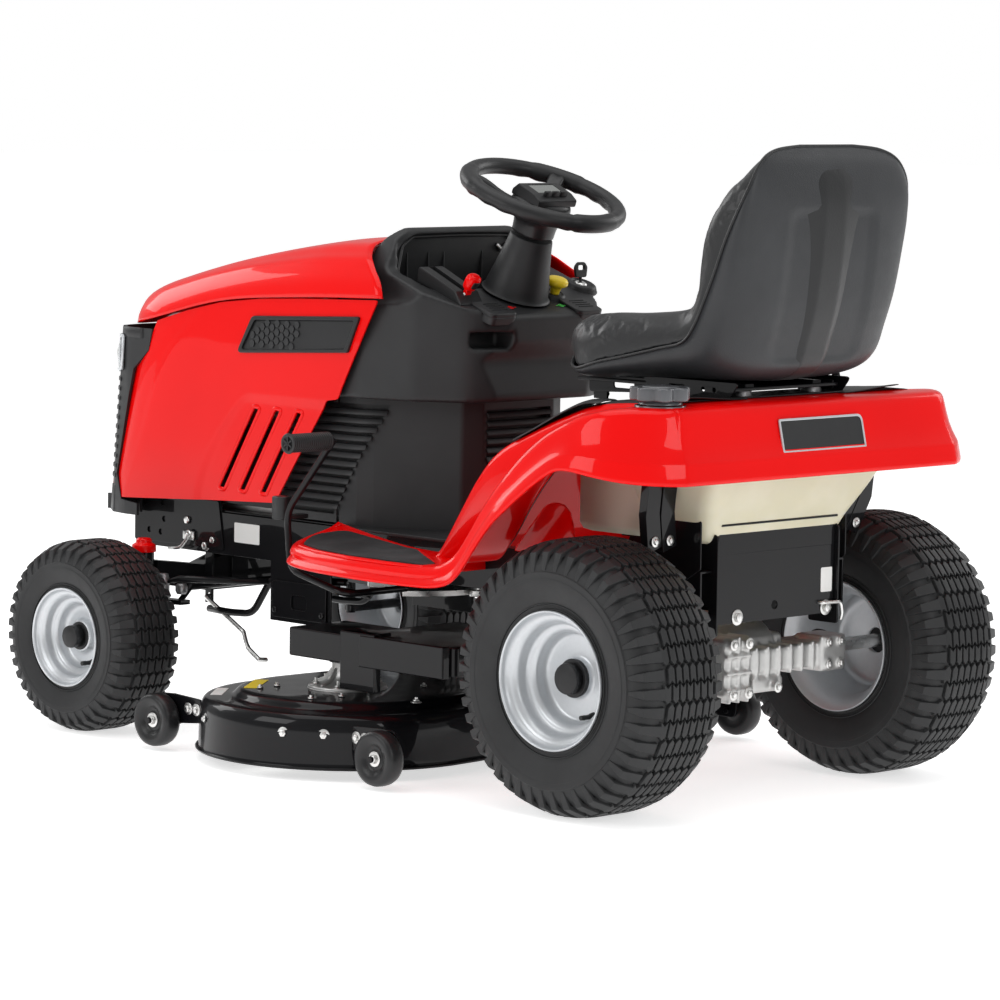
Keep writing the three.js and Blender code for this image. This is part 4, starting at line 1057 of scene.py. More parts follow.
def build_fender():
    half = fender_sheet()
    make("fender_skin", both(half), "chassis", "red", replaces=["fender_body"], sheet=2.6, rounds=1,
         crisp=False)
    make("fender_hump", hump_sheet(0, 322, HUMP), "chassis", "red", sheet=2.6, crisp=False)
    trim_spine = [stop for stop in HUMP if stop[0] >= -290]
    make("console_trim", hump_sheet(4.5, 319, trim_spine, 26), "chassis", "dark_plastic",
         replaces=["fender_console"], sheet=2.4, crisp=False)
    make_pair("console_wing", console_wing(), "chassis", "dark_plastic", sheet=3.0, rounds=1)
    make_pair("console_tongue", console_tongue(), "chassis", "dark_plastic", sheet=3.0, rounds=1)
    make_pair("foot_mat", foot_mat(), "chassis", "mat")
    make_pair("mat_rim", mat_rim(), "chassis", "red", crisp=False)
    make_pair("wheel_well", wheel_well(), "chassis", "red", sheet=3.0, rounds=1)
    frame_line = rounded([(-117, 624), (103, 624), (103, 684), (-117, 684, 14)], 4)
    field_line = rounded([(-113, 628), (99, 628), (99, 680), (-113, 680, 11)], 3)
    lean = Matrix.Translation((0, 191, 654)) @ Matrix.Rotation(math.radians(13), 4,
                                                               "X") @ Matrix.Translation((0, 0, -654))
    make("rear_badge_frame", turned(plate([frame_line, field_line], "y", -1, 2.2, 0.7), lean), "chassis",
         "silver")
    make("rear_badge_field", turned(plate([field_line], "y", -1, 1.2, 0.3), lean), "chassis", "charcoal")


def console_wing():
    """Upturned rear corner of the console trim."""
    rows = []
    for k in range(9):
        t = k / 8
        x = 120 + 165 * t
        rise = 9 * rising(t, 0.1, 1.0)
        rows.append([Vector((x, 40, 717)), Vector((x, 95, 718 + rise * 0.2)),
                     Vector((x, 122, 718 + rise * 0.7)), Vector((x, 136, 718 + rise))])
    return grid(rows)


def console_tongue():
    """Raised flap of the trim in front of the filler cap."""
    rows = []
    for k in range(10):
        t = k / 9
        y = -250 + 215 * t
        z = along(y, HUMP) + 6 + 9 * rising(t, 0.15, 0.8) * (1 - rising(t, 0.86, 1.0))
        rows.append([Vector((262, y, z - 2)), Vector((290, y, z)), Vector((312, y, z - 1)),
                     Vector((322, y, z - 7))])
    return grid(rows)


MAT = [(286, -706, 30), (345, -738, 34), (392, -706, 34), (424, -628, 60), (444, -520, 80), (448, -420, 60),
       (444, -330, 16), (420, -330, 18), (350, -430, 90), (284, -520, 60)]


def foot_lift(x, y):
    """How far the footrest rises towards its inner front corner."""
    rise = along(-y, [(540, 0), (575, 3), (650, 14), (700, 23), (735, 30), (765, 33)])
    edge = along(-y, [(500, 450), (575, 441), (655, 424), (722, 398), (762, 362), (778, 320)])
    return rise * max(0.0, min(1.0, (edge - x) / (edge - 254)))


def foot_mat():
    outline = [Vector(p) for p in rounded(MAT, 30, 8)]
    middle = sum(outline, Vector((0, 0))) / len(outline)
    rows = []
    rings = [(1.0, 400), (1.0, 407.5), (0.985, 409)] + [(share, 409) for share in (0.8, 0.6, 0.4, 0.2, 0.01)]
    for share, z in rings:
        ring = [middle + (p - middle) * share for p in outline]
        rows.append([Vector((p.x, p.y, z + foot_lift(p.x, p.y))) for p in ring])
    return grid(rows, loop_points=True)


def mat_rim():
    """Raised red edge pressed into the footrest round the mat."""
    outline = rounded(MAT, 30, 8)
    rows = []
    for k, (here_x, here_y) in enumerate(outline):
        out = outward(outline, k)
        spots = [(here_x + out.x * (u + 6.5), here_y + out.y * (u + 6.5), v) for u, v in oval(5.5, 3.2)]
        rows.append([Vector((x, y, 404 + v + foot_lift(x, y))) for x, y, v in spots])
    return grid(rows, loop_rows=True, loop_points=True)


def wheel_well():
    """Inner wall of the rear wheel's arch."""
    rows = []
    for y, z in [(-236, 418), (-213, 444), (-190, 470), (-168, 494), (-150, 514)]:
        rows.append([Vector((250, y, max(402, z - 190))), Vector((251, y, z - 60)), Vector((262, y, z + 2)),
                     Vector((300, y, z + 14)), Vector((330, y, z + 12))])
    return grid(rows)


build_fender()


# ------------------------------------------------------------------ dash, cowl and column
STEER = Vector((0, -491, 1047))
TILT = 0.3554
STEER_AXIS = Vector((0, math.sin(TILT), math.cos(TILT)))


def dash_top(y):
    """Height of the dash's upper face, which is square to the steering axis."""
    return STEER.z + (-200 - STEER_AXIS.y * (y - STEER.y)) / STEER_AXIS.z


def mirror_outline(right):
    """A full outline from its right half, listed from the middle round to the middle."""
    left = [(-p[0], *p[1:]) for p in reversed(right) if p[0] > 0]
    return list(right) + left


def dash_solid():
    side = [(-800, 668, 30), (-800, 846, 20), (-752, 872, 40), (-741, 942, 22), (-724, 982, 14),
            (-703, 979, 12), (-684, 904, 16), (-474, dash_top(-474), 12), (-480, 778, 16), (-500, 744, 20),
            (-484, 668, 12)]
    plan = mirror_outline([(0, -815), (258, -815, 4), (256, -706, 90), (228, -596, 90), (172, -510, 70),
                           (92, -474, 60), (0, -470, 300)])
    front = mirror_outline([(0, 640), (258, 640, 4), (260, 838, 26), (222, 852, 30), (216, 904, 40),
                            (172, 962, 40), (130, 982, 50), (0, 986, 400)])
    return carved(plate([rounded(side, 14)], "x", -262, 262, 0),
                  [plate([rounded(plan, 40, 8)], "z", 600, 1010, 0),
                   plate([rounded(front, 30, 8)], "y", -830, -440, 0)], "INTERSECT")


def dash_recess():
    """The tray's hollow, its opening facing the operator."""
    outline = rounded(mirror_outline([(0, 848), (170, 848, 14), (186, 900, 24), (156, 950, 26),
                                      (124, 966, 26), (0, 968)]), 16)
    points, faces = plate([outline], "y", -735, -600, 0)
    back = ([Vector((p.x, p.y + (p.z - 848) * 0.17 * (p.y < -700), p.z)) for p in points], faces)
    lower = block(-177, 177, -699, -616, 846.5, 1000, 0.0)
    return back, lower


def dash_pockets():
    """Long openings in the rear face, under the tabs."""
    pocket = block(82, 164, -530, -440, 768, 798, 5)
    return [pocket, mirrored(pocket)]


def build_dash():
    back, lower = dash_recess()
    shell = carved(dash_solid(), [back, lower])
    shell = carved(shell, dash_pockets(), "DIFFERENCE", voxel=4.2, soften=5)
    make("dash_moulding", shell, "chassis", "charcoal", replaces=["dash_housing", "dash_tray"], crisp=False)
    ring = rounded(mirror_outline([(0, 850), (168, 850, 12), (183, 899, 22), (155, 947, 24), (123, 963, 24),
                                   (0, 965)]), 14, 6)
    rows = []
    for k, (x, z) in enumerate(ring):
        out = outward(ring, k)
        y = -688 - (z - 905) * 0.36
        rows.append([Vector((x + out.x * u, y + v, z + out.y * u)) for u, v in oval(3.5)])
    make("tray_rim", grid(rows, loop_rows=True, loop_points=True), "chassis", "dark_plastic", crisp=False)
    ribs = [block(x - 1.5, x + 1.5, -735, -720, 872, 934, 0.6) for x in (-70, 30, 70, 125)]
    make("tray_ribs", merged(*ribs), "chassis", "charcoal")
    nut_at = Vector((-118, -716, 935))
    wings = [turned(block(-3, 3, -2, 2, 4, 17, 1.4),
                    Matrix.Translation(nut_at) @ Matrix.Rotation(s, 4, "Y")) for s in (0.9, -0.9)]
    make("tray_wing_nut", merged(bar(nut_at, nut_at + Vector((0, 14, 0)), 6), *wings), "chassis", "zinc")
    make("throttle_pod", throttle_pod(), "chassis", "dark_plastic", bevel=1.2)
    make("key_pod", key_pod(), "chassis", "dark_plastic", bevel=1.2)
    build_lip_tabs()
    build_cowl()


def throttle_pod():
    """Wedge with a slotted quadrant, left of the column."""
    side = [(-642, dash_top(-642) - 6), (-638, dash_top(-638) + 27, 8), (-540, dash_top(-540) + 20, 10),
            (-520, dash_top(-520) - 2)]
    pod = plate([rounded(side, 4)], "x", 118, 176, 2.0)
    slot = plate([[(-632, 1000), (-632, dash_top(-632) + 19), (-536, dash_top(-536) + 12), (-536, 1000)]],
                 "x", 140, 156, 0)
    return carved(pod, [slot])


def key_pod():
    """Round bezel under the key and a small boss under the blade knob."""
    made = []
    for x, y, radius in ((-198, -582, 27), (-85, -546, 22)):
        profile = [(0.01, -6), (radius + 4, -6), (radius + 3, 2), (radius, 8), (radius * 0.8, 10),
                   (radius * 0.7, 7), (0.01, 7)]
        made.append(lathe(smooth_path(profile, 2), (x, y, dash_top(y)), STEER_AXIS, 40))
    return merged(*made)


def build_lip_tabs():
    """The parking brake and cruise tabs on the rear lip, each with three moulded ridges and a print."""
    slope = math.atan2(dash_top(-466) - dash_top(-522), 56)
    for node, side, icon in (("park_brake_tab", 1, "red"), ("cruise_tab", -1, "green_icon")):
        lay = Matrix.Translation((113 * side, -502, dash_top(-502) - 4)) @ Matrix.Rotation(slope, 4, "X")
        outline = rounded([(-36, -30, 4), (36, -30, 4), (34, 30, 14), (-34, 30, 14)], 8)
        lip = plate([rounded([(-34, 4, 4), (34, 4, 4), (32, 31, 12), (-32, 31, 12)], 6)], "z", -14, 2, 2.0)
        make(f"{node}_top", turned(merged(plate([outline], "z", 0, 9, 2.6), lip), lay), node, "charcoal",
             replaces=[node])
        ridges = [plate([rounded([(-24, y), (14, y), (19, y + 2.6), (-21, y + 2.6)], 1)], "z", 8, 10.4, 0.7)
                  for y in (-18, -9, 0, 9)]
        make(f"{node}_ridges", turned(merged(*ridges), lay), node, "dark_plastic")
        spot = Matrix.Translation((66 * side, -506, dash_top(-506) + 1.0)) @ Matrix.Rotation(slope, 4, "X")
        mark = merged(lathe([(6, 0), (6, 0.7), (4.4, 0.7), (4.4, 0)], (0, 0, 0), (0, 0, 1), 24,
                            closed=True), block(-1, 1, -3, 3, 0, 0.8, 0.2),
                      block(-13, -8, -1, 1, 0, 0.8, 0.2), block(8, 13, -1, 1, 0, 0.8, 0.2))
        make(f"{node}_print", turned(mark, spot), "chassis", icon)


COWL_SIDE = [(564, 130), (722, 219), (748, 226), (800, 228.5), (945, 230)]
COWL_VENT = [(-684, 655), (-960, 655), (-960, 446), (-800, 446)]
COWL_PLAN = [(0, -546), (92, -546, 14), (130, -564, 20), (212, -712, 10), (226, -744, 10), (228, -790, 3),
             (0, -790)]


def wall_strip(start, end, section, z):
    """A section of (outward, up) points carried forward along the cowl's left side wall at height z."""
    rows = []
    for k in range(15):
        y = start + (end - start) * k / 14
        x = along(-y, COWL_SIDE)
        slope = (along(-y + 2, COWL_SIDE) - along(-y - 2, COWL_SIDE)) / 4
        out = Vector((1, slope)).normalized()
        rows.append([Vector((x + out.x * u, y + out.y * u, z + v)) for u, v in section])
    return capped(rows)


def louvre(width):
    """One slat, drawn across X with its blade hanging down and out along +Y."""
    section = [(0, 0), (5.5, -1.5), (9.0, -9.5), (6.8, -10.5), (4.0, -4.0), (0, -3.0)]
    return plate([section], "x", -width / 2, width / 2, 0.5)


def build_cowl():
    outer = plate([rounded(mirror_outline(COWL_PLAN), 12, 6)], "z", 424, 668, 0)
    inner_plan = mirror_outline([(0, -551), (90, -551, 12), (126, -567, 16), (207, -714, 10),
                                 (221, -745, 8), (223, -800), (0, -800)])
    inner = plate([rounded(inner_plan, 10, 6)], "z", 300, 700, 0)
    walls = carved(outer, [inner])
    foot = plate([rounded([(-252, -775, 10), (252, -775, 10), (250, -450, 30), (-250, -450, 30)], 14)], "z",
                 421, 427, 1.5)
    windows = [block(-84, 84, -560, -530, 452, 650, 0)]
    vent = plate([COWL_VENT], "x", 150, 300, 0.0)
    windows += [vent, mirrored(vent)]
    shaft = bar((0, -642, 400), (0, -642, 700), 26)
    make("cowl_walls", carved(walls, windows), "chassis", "charcoal", replaces=["lower_cowl"], bevel=1.0)
    make("cowl_foot", carved(foot, [shaft]), "chassis", "charcoal")
    slats = []
    for k in range(12):
        z = 646 - k * 16.4
        slats.append(moved(louvre(168), 0, -549, z))
        start = -684 - (655 - z) * 0.556
        slat = wall_strip(start + 2, -944, [(-3, 0), (3, -1.5), (7, -10), (5, -11), (1.5, -4.5),
                                            (-3, -3.2)], z)
        slats += [slat, mirrored(slat)]
    make("cowl_louvres", merged(*slats), "chassis", "charcoal")
    back = wall_strip(-650, -944, [(-16, -108), (-14.5, -108), (-14.5, 108), (-16, 108)], 551)
    make("cowl_backing", merged(block(-88, 88, -566, -562, 446, 656, 0.5), back, mirrored(back)), "chassis",
         "dark_plastic")
    shield = carved(plate([[(-792, 664), (-820, 640), (-944, 480), (-944, 430), (-792, 430)]], "x", 227,
                          231, 0.0), [vent])
    make("cowl_shields", both(shield), "chassis", "charcoal", bevel=0.8)
    cone = smooth_path([(66, 196), (61, 190), (57, 170), (49.5, 135), (43.5, 104), (41, 88), (39.5, 83),
                        (36, 82)], 4)
    profile = [(radius, -down) for radius, down in cone]
    make("column_shroud", lathe(profile, STEER, STEER_AXIS, 56), "chassis", "charcoal",
         replaces=["column_cover"])


build_dash()


# ------------------------------------------------------------------ seat
# Stations from the front edge, under the seat and up the back to the top: shell y z, seam y z,
# bolster crest y z, middle of the cushion's face y z, half width.
SEAT = [
    (-290, 764, -295, 773, -306, 789, -306, 789, 166), (-264, 742, -268, 757, -287, 811, -287, 811, 198),
    (-200, 733, -212, 756, -246, 834, -242, 832, 214), (-100, 737, -100, 776, -150, 846, -150, 836, 220),
    (20, 741, 12, 800, -40, 852, -70, 828, 224), (112, 745, 71, 814, 58, 866, 24, 836, 228),
    (160, 766, 96, 842, 82, 904, 62, 872, 227), (179, 812, 120, 890, 88, 948, 80, 925, 226),
    (196, 870, 142, 938, 95, 994, 99, 978, 226), (208, 940, 162, 990, 110, 1036, 117, 1030, 224),
    (215, 1010, 184, 1040, 132, 1074, 136, 1075, 219), (216, 1068, 201, 1088, 157, 1106, 156, 1110, 206),
    (209, 1118, 202, 1127, 178, 1136, 175, 1139, 180), (199, 1142, 196, 1146, 187, 1150, 186, 1151, 138),
    (192, 1152, 191, 1153, 189, 1155, 189, 1155, 70),
]
SHELL_STEPS, FACE_STEPS, ROUND_STEPS = 26, 14, 10


def seat_stations():
    return smooth_path(SEAT, 7)


def plan_round(point, half):
    """Pulls the front corners of the seat back, as its front edge is curved in plan."""
    share = min(1.0, abs(point.x) / max(1, half))
    back = 52 * rising(-point.y, 120, 290) * share ** 3
    return Vector((point.x, point.y + back, point.z))


def back_panel_depth(x, z):
    """Depth of the rounded recess pressed into the seat's back."""
    half_x, half_z, corner = 113, 136, 26
    dx, dz = abs(x) - half_x + corner, abs(z - 911) - half_z + corner
    outside = math.hypot(max(dx, 0), max(dz, 0)) - corner
    return 4.5 * rising(-outside, 0, 9)


def seat_shell_sheet():
    rows = []
    for cy, cz, ey, ez, *_, half in seat_stations():
        row = []
        for k in range(-SHELL_STEPS, SHELL_STEPS + 1):
            angle = abs(k) / SHELL_STEPS * math.pi / 2
            x = math.copysign(half * math.sin(angle) ** 0.62, k) if k else 0.0
            toward = 1 - math.cos(angle) ** 0.62
            y, z = cy + (ey - cy) * toward, cz + (ez - cz) * toward
            if cz > 760 and toward < 0.4:
                y -= back_panel_depth(x, z)
            row.append(plan_round(Vector((x, y, z)), half))
        rows.append(row)
    return grid(rows)


def cushion_solid():
    """Closed form between the sitter's face and the shell."""
    rows = []
    for cy, cz, ey, ez, by, bz, fy, fz, half in seat_stations():
        right = []
        crest = half * 0.80
        for k in range(FACE_STEPS):
            x = crest * k / FACE_STEPS
            lift = rising(x, half * 0.30, half * 0.78)
            right.append((x, fy + (by - fy) * lift, fz + (bz - fz) * lift))
        for k in range(ROUND_STEPS + 1):
            angle = k / ROUND_STEPS * math.pi / 2
            toward = 1 - math.cos(angle) ** 0.85
            right.append((crest + (half - 2 - crest) * math.sin(angle) ** 0.85,
                          by + (ey - by) * toward, bz + (ez - bz) * toward))
        under = []
        for k in range(1, 8):
            t = k / 8
            toward = max(0.0, 1 - t * 1.15)
            under.append(((half - 8) * (1 - t), cy + (ey - cy) * toward, cz + (ez - cz) * toward))
        inward = Vector((0, fy - cy, fz - cz))
        inward = inward.normalized() * 6 if inward.length > 12 else inward * 0.3
        under = [(x, y + inward.y, z + inward.z) for x, y, z in under]
        ring = right + under
        full = [Vector(p) for p in ring] + [Vector((0, cy + inward.y, cz + inward.z))]
        full += [Vector((-x, y, z)) for x, y, z in reversed(ring) if x > 0.01]
        rows.append([plan_round(p, half) for p in full])
    return capped(rows)


PAD = {"pressure": 4.0, "cap": 7.0, "voxel": 5.0, "frames": 20}


def inflate(item):
    """Cloth under pressure, gravity off, with the movement of each point capped."""
    fuse = item.modifiers.new("fuse", "REMESH")
    fuse.mode = "VOXEL"
    fuse.voxel_size = PAD["voxel"] * MM
    shape = shape_of(item)
    item.modifiers.clear()
    item.data = mesh_from(item.name, shape)
    rest = [v.co.copy() for v in item.data.vertices]
    cloth = item.modifiers.new("cloth", "CLOTH")
    cloth.settings.use_pressure = True
    cloth.settings.uniform_pressure_force = PAD["pressure"]
    cloth.settings.effector_weights.gravity = 0
    cloth.settings.quality = 4
    cloth.point_cache.frame_start, cloth.point_cache.frame_end = 1, PAD["frames"]
    scene = bpy.context.scene
    for step in range(1, PAD["frames"] + 1):
        scene.frame_set(step)
    done = item.evaluated_get(bpy.context.evaluated_depsgraph_get()).to_mesh()
    moved_to = []
    for before, vertex in zip(rest, done.vertices):
        shift = vertex.co - before
        if shift.length > PAD["cap"] * MM:
            shift = shift.normalized() * PAD["cap"] * MM
        moved_to.append(before + shift)
    item.modifiers.clear()
    scene.frame_set(1)
    back = TO_ROW.inverted()
    return [back @ p for p in moved_to], [tuple(f.vertices) for f in item.data.polygons]


def sewn(points):
    """Presses the sewn channels into the cushion's face: two lengthways and four across."""
    made = []
    for p in points:
        depth = 3.2 * math.exp(-((abs(p.x) - 118) / 3.6) ** 2)
        for y, z in ((-168, 842), (-62, 834), (92, 960), (122, 1046)):
            if abs(p.x) < 118:
                gap = (p.y - y) if z < 860 else (p.z - z)
                depth = max(depth, 3.2 * math.exp(-(gap / 3.6) ** 2))
        upward = p.z < 870 and p.y < 60
        facing = (p.z > 800 and upward) or (p.z >= 850 and p.y < 178 - max(0, 1000 - p.z) * 0.35)
        if not facing or abs(p.x) > 160:
            depth = 0
        made.append(Vector((p.x, p.y + (0 if upward else depth), p.z - (depth if upward else 0))))
    return made


def build_seat():
    make("seat_back_shell", seat_shell_sheet(), "seat", "shell_plastic", replaces=["seat_shell"], sheet=3.0,
         crisp=False)
    cushion = make("seat_pad", cushion_solid(), "seat", "vinyl", replaces=["seat_cushion"], crisp=False)
    cushion.parent = None
    points, faces = inflate(cushion)
    cushion.data = mesh_from("seat_pad", (sewn(points), faces))
    cushion.data.materials.append(LOOKS["vinyl"])
    cushion.modifiers.new("rounds", "SUBSURF")
    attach(cushion, "seat")
    seam = [plan_round(Vector((half + 0.5, y, z)), half) for _, _, y, z, *_, half in seat_stations()]
    loop = seam + [Vector((-p.x, p.y, p.z)) for p in reversed(seam)]
    make("seat_piping", sweep([*loop, loop[0]], oval(2.6)), "seat", "vinyl", crisp=False)


build_seat()


# ------------------------------------------------------------------ steering wheel and small controls
WHEEL_TURN = Matrix.Translation(STEER) @ Matrix.Rotation(-TILT, 4, "X")


SPOKE_ANGLES = (math.pi / 2, math.radians(215), math.radians(325))


def grip_radius(angle):
    """Grip thickness round the wheel: fuller at the spokes, with a thin sewn groove at each end."""
    gaps = [abs((angle - centre + math.pi) % (2 * math.pi) - math.pi) for centre in SPOKE_ANGLES]
    radius = 15.5 + max(1.6 * rising(-gap, -0.42, -0.30) for gap in gaps)
    return radius - sum(1.5 * math.exp(-((gap - 0.36) / 0.022) ** 2) for gap in gaps)


def steering_rim():
    rows = []
    for k in range(120):
        angle = 2 * math.pi * k / 120
        radius = grip_radius(angle)
        row = []
        for j in range(20):
            a = 2 * math.pi * j / 20
            finger = 0.9 * math.cos(angle * 22) * max(0, -math.sin(a)) if abs(math.cos(angle)) > 0.35 else 0.0
            r = radius + finger
            row.append(Vector(((142 + r * math.cos(a)) * math.cos(angle),
                               (142 + r * math.cos(a)) * math.sin(angle), r * 0.98 * math.sin(a))))
        rows.append(row)
    return grid(rows, loop_rows=True, loop_points=True)


def spoke(angle, wide_hub, wide_rim):
    """Dished spoke from hub to rim with a raised spine."""
    rows = []
    for k in range(13):
        t = k / 12
        r = 34 + 100 * t
        half = wide_hub + (wide_rim - wide_hub) * t - 4 * math.sin(math.pi * t)
        z = -27 + 27 * rising(t, 0.1, 0.95)
        thick = 8 + 3 * abs(t - 0.5)
        ring = []
        for j in range(16):
            a = 2 * math.pi * j / 16
            u = math.copysign(abs(math.cos(a)) ** 0.6, math.cos(a)) * half
            v = math.copysign(abs(math.sin(a)) ** 0.6, math.sin(a)) * thick
            if v > 0:
                v -= 2.4 * (1 - rising(abs(u), 0, half * 0.55))
            ring.append(Vector((r * math.cos(angle) - u * math.sin(angle), r * math.sin(angle)
                                + u * math.cos(angle), z + v)))
        rows.append(ring)
    return capped(rows)


def build_wheel():
    make("steering_grip", turned(steering_rim(), WHEEL_TURN), "steering_wheel", "soft_black",
         replaces=["steering_wheel"], crisp=False)
    spokes = [spoke(angle, *widths) for angle, widths in zip(SPOKE_ANGLES, ((24, 20), (20, 17), (20, 17)))]
    make("steering_spokes", turned(merged(*spokes), WHEEL_TURN), "steering_wheel", "wheel_plastic",
         crisp=False)
    stops = [(-76, 37, 37), (-60, 38, 38), (-48, 42, 40), (-38, 54, 46), (-26, 58, 49), (-14, 56, 47),
             (-7, 48, 40), (-5, 36, 30)]
    make("steering_hub", turned(pod(stops), WHEEL_TURN), "steering_wheel", "wheel_plastic", crisp=False)
    wedge = [(-34, -10), (40, -10), (40, 4, 5), (22, 11, 5), (-22, 15, 5), (-34, 0, 5)]
    body = carved(plate([rounded(wedge, 4)], "x", -50, 50, 2.5), [block(-33, 33, -15, 17, 8, 30, 0)])
    make("display_frame", turned(body, WHEEL_TURN), "steering_wheel", "dark_plastic", bevel=0.6)
    lift = WHEEL_TURN @ Matrix.Translation((0, 1, 11)) @ Matrix.Rotation(math.radians(-5), 4, "X")
    glass = box_line(-33, 33, -16, 16, 1)
    make("display_glass", turned(plate([glass], "z", -4, 0.8, 0.3), lift), "steering_wheel", "screen")
    keys = [block(x - 8, x + 8, 24, 30, -2, 9.6, 1.2) for x in (-20, 0, 20)]
    make("display_keys", turned(merged(*keys), lift), "steering_wheel", "dark_plastic")


def pod(stops):
    """Closed form with rounded-square sections: height, half width, half depth."""
    rows = []
    for z, half_x, half_y in smooth_path(stops, 4):
        rows.append([Vector((math.copysign(abs(math.cos(a)) ** 0.8, math.cos(a)) * half_x,
                             math.copysign(abs(math.sin(a)) ** 0.8, math.sin(a)) * half_y, z))
                     for a in (2 * math.pi * k / 48 for k in range(48))])
    return capped(rows)


def build_small_controls():
    foot = Vector((148, -545, dash_top(-545) - 4))
    tip = foot + Vector((0, 18, 36))
    arm = sweep([foot, foot + Vector((0, 6, 16)), tip], [(-7, -4.5), (7, -4.5), (7, 4.5), (-7, 4.5)])
    lay = Matrix.Translation(tip) @ Matrix.Rotation(math.radians(-38), 4, "X")
    knob = [(-14, 7, 6), (-10, 12, 10), (2, 14.5, 12), (12, 14, 12), (17, 11, 9), (18.5, 6, 5)]
    make("throttle_arm", arm, "throttle_lever", "red", replaces=["throttle_lever"], bevel=1.2)
    make("throttle_knob", turned(pod(knob), lay), "throttle_lever", "red", crisp=False)
    inset = turned(pod([(-6, 5, 3), (-4, 7.5, 4), (7, 8.5, 4), (9, 6, 3)]),
                   lay @ Matrix.Translation((0, 9.6, 2)))
    make("throttle_inset", inset, "throttle_lever", "dark_plastic", crisp=False)
    screw = bolt(foot + Vector((7, 9, 16)), (1, 0, 0), 6, washer=False)
    make("throttle_screw", screw, "throttle_lever", "zinc")


build_wheel()
build_small_controls()


# ------------------------------------------------------------------ mower deck and what it carries
DECK_X, DECK_Y, DECK_R = 272, -712, 270


def deck_outline(grow=0.0):
    """Plan of the two-bladed deck: a lobe round each blade, joined by slightly waisted edges."""
    r = DECK_R + grow
    right = [(DECK_X + r * math.cos(a), DECK_Y + r * math.sin(a))
             for a in (math.radians(d) for d in range(-90, 91, 6))]
    back = [(200, DECK_Y + r * 0.985), (90, DECK_Y + r * 0.93), (0, DECK_Y + r * 0.91)]
    front = [(0, DECK_Y - r * 0.91), (90, DECK_Y - r * 0.93), (200, DECK_Y - r * 0.985)]
    half = front[1:] + right + back[:2]
    return [(0, front[0][1])] + half + [(0, back[2][1])] + [(-x, y) for x, y in reversed(half)]


def deck_skin():
    """Pressed top, side wall with a rolled lip, lofted between offset outlines."""
    stops = [(-110, 130.5), (-78, 130), (-68, 127), (-60, 119), (-50, 116.2), (-16, 115.5), (-8, 113),
             (-3, 106), (0.2, 94), (1.5, 60), (2.5, 30), (4.5, 23), (8, 20.5), (10.5, 21.5), (11.2, 24.5),
             (9.6, 26)]
    rings = [[Vector((x, y, z)) for x, y in deck_outline(grow)] for grow, z in smooth_path(stops, 3)]
    points, faces = grid(rings, loop_points=True)
    middle = len(points)
    points = list(points) + [Vector((0, DECK_Y, 131))]
    count = len(rings[0])
    faces = list(faces) + [(i, (i + 1) % count, middle) for i in range(count)]
    return points, faces


def spindle_housing():
    """Cast bearing housing with four ribs, flange and pulley hub."""
    centre = (DECK_X, DECK_Y, 0)
    profile = [(0.01, 131), (72, 131), (73, 134), (72, 139), (60, 141), (50, 143), (38, 150), (31, 162),
               (29, 180), (29, 186), (24, 188), (0.01, 188)]
    made = [lathe(smooth_path(profile, 2), centre, (0, 0, 1), 48)]
    for k in range(6):
        spin = Matrix.Translation((DECK_X, DECK_Y, 0)) @ Matrix.Rotation(k * math.pi / 3, 4, "Z")
        rib = plate([[(26, 139), (66, 139), (66, 143), (44, 152), (26, 176)]], "y", -3, 3, 1.0)
        made.append(turned(rib, spin))
    return merged(*made)


def pulley(z, radius):
    profile = [(12, z - 9), (radius, z - 9), (radius + 1, z - 8), (radius * 0.82, z), (radius + 1, z + 8),
               (radius, z + 9), (12, z + 9), (12, z - 9)]
    return lathe(profile, (DECK_X, DECK_Y, 0), (0, 0, 1), 48, closed=True)


def belt_cover():
    """Folded steel box over the pulley with its leg and rear tunnel."""
    box_plan = box_line(196, 342, -800, -562, 8)
    leg = box_line(300, 347, -648, -566, 3)
    tunnel = rounded([(60, -640, 10), (330, -640, 10), (330, -372, 14), (90, -372, 14)], 8)
    arm = box_line(332, 352, -600, -380, 4)
    wing = plate([rounded([(332, 145), (350, 145), (350, 252, 3), (332, 252, 3)], 2)], "y", -650, -560, 1.2)
    return merged(plate([box_plan], "z", 190, 243, 3.0), plate([leg], "z", 196, 252, 1.6), wing,
                  plate([tunnel], "z", 192, 246, 3.0), plate([arm], "z", 190, 248, 2.0))


def hinge_bracket(y):
    """Stamped ear with a slot that hangs the deck."""
    ear = plate([rounded([(y - 22, 128, 3), (y + 22, 128, 3), (y + 16, 186, 14), (y - 16, 186, 14)], 3),
                 rounded([(y - 5, 158, 4), (y + 5, 158, 4), (y + 5, 174, 4), (y - 5, 174, 4)], 3)], "x",
                128, 132, 0.6)
    foot = block(108, 152, y - 22, y + 22, 127, 131, 0.8)
    return merged(ear, foot)


GAUGE_AT = {"front": -1015, "rear": -412}


def gauge_tread():
    """Barrel roller with rounded shoulders and a recessed hub on its outer face."""
    profile = [(8, -18), (16, -18), (19, -16), (22, -15.5), (33, -16), (41, -18.5), (47, -16), (49.6, -9),
               (50, 0), (49.6, 9), (47, 16), (41, 18.5), (33, 16), (27, 14), (24, 10), (20, 8), (15, 8),
               (13, 10), (8, 10), (8, -18)]
    return lathe(profile, (475, 0, 57), (1, 0, 0), 56, closed=True)


